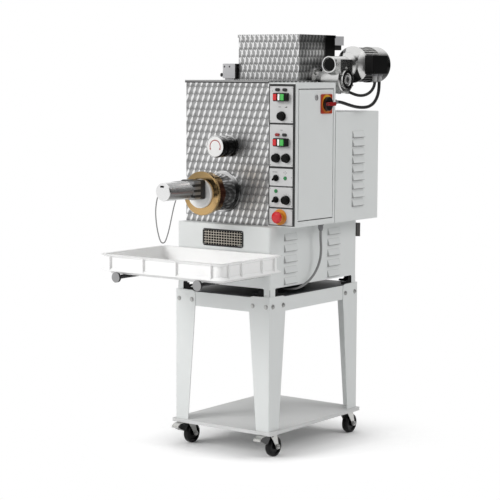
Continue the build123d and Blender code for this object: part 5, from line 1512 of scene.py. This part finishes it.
# -------------------------------------------------------------------------------------------- studio
@dataclass
class Studio:
    """The floor, the light and the camera."""

    azimuth: float = 36.27
    pitch: float = 6.21
    roll: float = 0.26
    lens: float = 119.84
    eye: Point = (3.9145, -5.355, 1.521)  # metres in the row frame
    floor_half: float = 12.0
    floor_tone: float = 0.93
    floor_middle: float = 0.15  # the y that it fades from
    floor_fade: tuple[float, float] = (0.36, 0.78)  # how far from there it begins and ends to turn white
    floor_lift: float = 0.36  # added to what the floor shows, so that its lit part comes out white
    floor_reach: float = 0.42  # how near a piece has to be to take light from the floor, in metres
    ambient: float = 0.36  # what the room gives to matt surfaces
    lamps: tuple[tuple[str, Point, float, float], ...] = (
        # name, place, side and power
        ("key_lamp", (-2.4, -4.6, 3.4), 3.0, 205.0),
        ("side_lamp", (4.0, 1.3, 3.5), 2.4, 70.0),
        ("top_lamp", (0.4, 0.8, 4.4), 3.2, 14.0),
    )

    def set_up(self) -> None:
        """Build floor, world, lamps and camera."""
        self.floor()
        self.world()
        for name, place, side, power in self.lamps:
            self.lamp(name, place, side, power)
        self.camera()

    def floor(self) -> None:
        """A pale floor that fades to white away from the machine.

        The fade is a smooth step of the distance from the machine's middle.
        """
        half = self.floor_half
        mesh = bpy.data.meshes.new("studio_floor")
        mesh.from_pydata([(-half, -half, 0), (half, -half, 0), (half, half, 0), (-half, half, 0)], [],
                         [(0, 1, 2, 3)])
        material = bpy.data.materials.new("studio_floor")
        material.use_nodes = True
        board = Board(material.node_tree)
        x, y, _ = board.parts(board.node("TexCoord").outputs["Object"])
        away = (x * x + (y - self.floor_middle) * (y - self.floor_middle)).root()
        paths = board.node("LightPath")
        glossy = Wire(board, paths.outputs["Is Glossy Ray"]) * (1.0 - x.rise(0.30, 1.0) * 0.96)
        seen = Wire(board, paths.outputs["Is Camera Ray"]).either(glossy).either(
            Wire(board, paths.outputs["Is Transmission Ray"]))
        matt = board.node("BsdfDiffuse", inputs={"Color": (self.floor_tone,) * 3})
        white = board.node("Emission", inputs={"Color": (1.0,) * 3, "Strength": 1.0})
        open_sky = Wire(board, board.node("AmbientOcclusion", {"samples": 8}, {
            "Distance": self.floor_reach}).outputs["AO"])
        lift = board.node("Emission", inputs={
            "Color": board.mix(seen * open_sky * open_sky, (0.0,) * 3, (self.floor_lift,) * 3),
            "Strength": 1.0})
        near = board.node("AddShader", inputs={0: matt.outputs[0], 1: lift.outputs[0]})
        mixed = board.node("MixShader", inputs={
            0: away.rise(*self.floor_fade) * seen, 1: near.outputs[0], 2: white.outputs[0]})
        board.node("OutputMaterial", inputs={0: mixed.outputs[0]})
        mesh.materials.append(material)
        floor = bpy.data.objects.new("studio_floor", mesh)
        bpy.context.scene.collection.objects.link(floor)

    def world(self) -> None:
        """Soft light from all round, and a white background for the camera and for reflections.

        Metal mirrors a room that is a little darker below and nearly black on the right.
        """
        world = bpy.data.worlds.new("studio_world")
        bpy.context.scene.world = world
        world.use_nodes = True
        board = Board(world.node_tree)
        paths = board.node("LightPath")
        camera = Wire(board, paths.outputs["Is Camera Ray"]).either(
            Wire(board, paths.outputs["Is Transmission Ray"]))
        glossy = Wire(board, paths.outputs["Is Glossy Ray"])
        x, y, z = board.parts(board.node("TexCoord").outputs["Generated"])
        dark_wall = (x * 0.9 + y * 0.25).rise(0.10, 0.50) * (1.0 - z.rise(0.55, 0.85))
        room = (z.rise(0.0, 0.7) * 0.2 + 0.80) * (1.0 - dark_wall * 0.97)
        strength = camera.either(glossy * room).either((1.0 - camera.either(glossy)) * self.ambient)
        shade = board.node("Background", inputs={"Color": (1.0,) * 3, "Strength": strength})
        board.node("OutputWorld", inputs={0: shade.outputs[0]})

    def lamp(self, name: str, place: Point, side: float, power: float) -> None:
        """Add a square lamp that faces the middle of the machine and leaves no glint on metal.

        Args:
            name: its name.
            place: where it hangs, in metres.
            side: its side, in metres.
            power: its power, in watts.
        """
        light = bpy.data.lights.new(name, "AREA")
        light.shape, light.size, light.energy = "SQUARE", side, power
        lamp = bpy.data.objects.new(name, light)
        lamp.visible_glossy = False
        away = np.array(place) - np.array((0.0, 0.1, 0.9))
        back = away / np.linalg.norm(away)
        right = np.cross((0.0, 0.0, 1.0), back)
        right /= np.linalg.norm(right)
        lamp.matrix_world = self.matrix(right, np.cross(back, right), back, place)
        bpy.context.scene.collection.objects.link(lamp)

    def matrix(self, right: Array, up: Array, back: Array, place: Point) -> Matrix:
        """A pose from three axes and a place."""
        pose = np.vstack((np.column_stack((right, up, back, place)), (0.0, 0.0, 0.0, 1.0)))
        return Matrix(pose.tolist())

    def camera(self) -> None:
        """A long lens, level with the panel, off the machine's front right corner."""
        turn, dip, tilt = (math.radians(angle) for angle in (self.azimuth, self.pitch, self.roll))
        ahead = np.array((-math.sin(turn) * math.cos(dip), math.cos(turn) * math.cos(dip), -math.sin(dip)))
        level = np.array((math.cos(turn), math.sin(turn), 0.0))
        upright = np.cross(level, ahead)
        right = math.cos(tilt) * level + math.sin(tilt) * upright
        up = -math.sin(tilt) * level + math.cos(tilt) * upright
        data = bpy.data.cameras.new("camera")
        data.lens, data.sensor_width, data.sensor_fit = self.lens, 36.0, "HORIZONTAL"
        data.clip_end = 60.0
        camera = bpy.data.objects.new("camera", data)
        camera.matrix_world = self.matrix(right, up, -ahead, self.eye)
        bpy.context.scene.collection.objects.link(camera)
        bpy.context.scene.camera = camera


def main() -> None:
    """Load the packed machine, dress it, lay its cords and set up the studio."""
    logging.basicConfig(level=logging.INFO, format="%(name)s: %(message)s")
    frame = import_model()
    bpy.context.scene.view_settings.view_transform = "Standard"
    Studio().set_up()
    for cord in CORDS:
        cord.lay()
    for assembly in (Stand, Casing, Head, Body, Panel, Gearmotor):
        assembly(frame["nodes"]).finish()


if __name__ == "__main__":
    main()
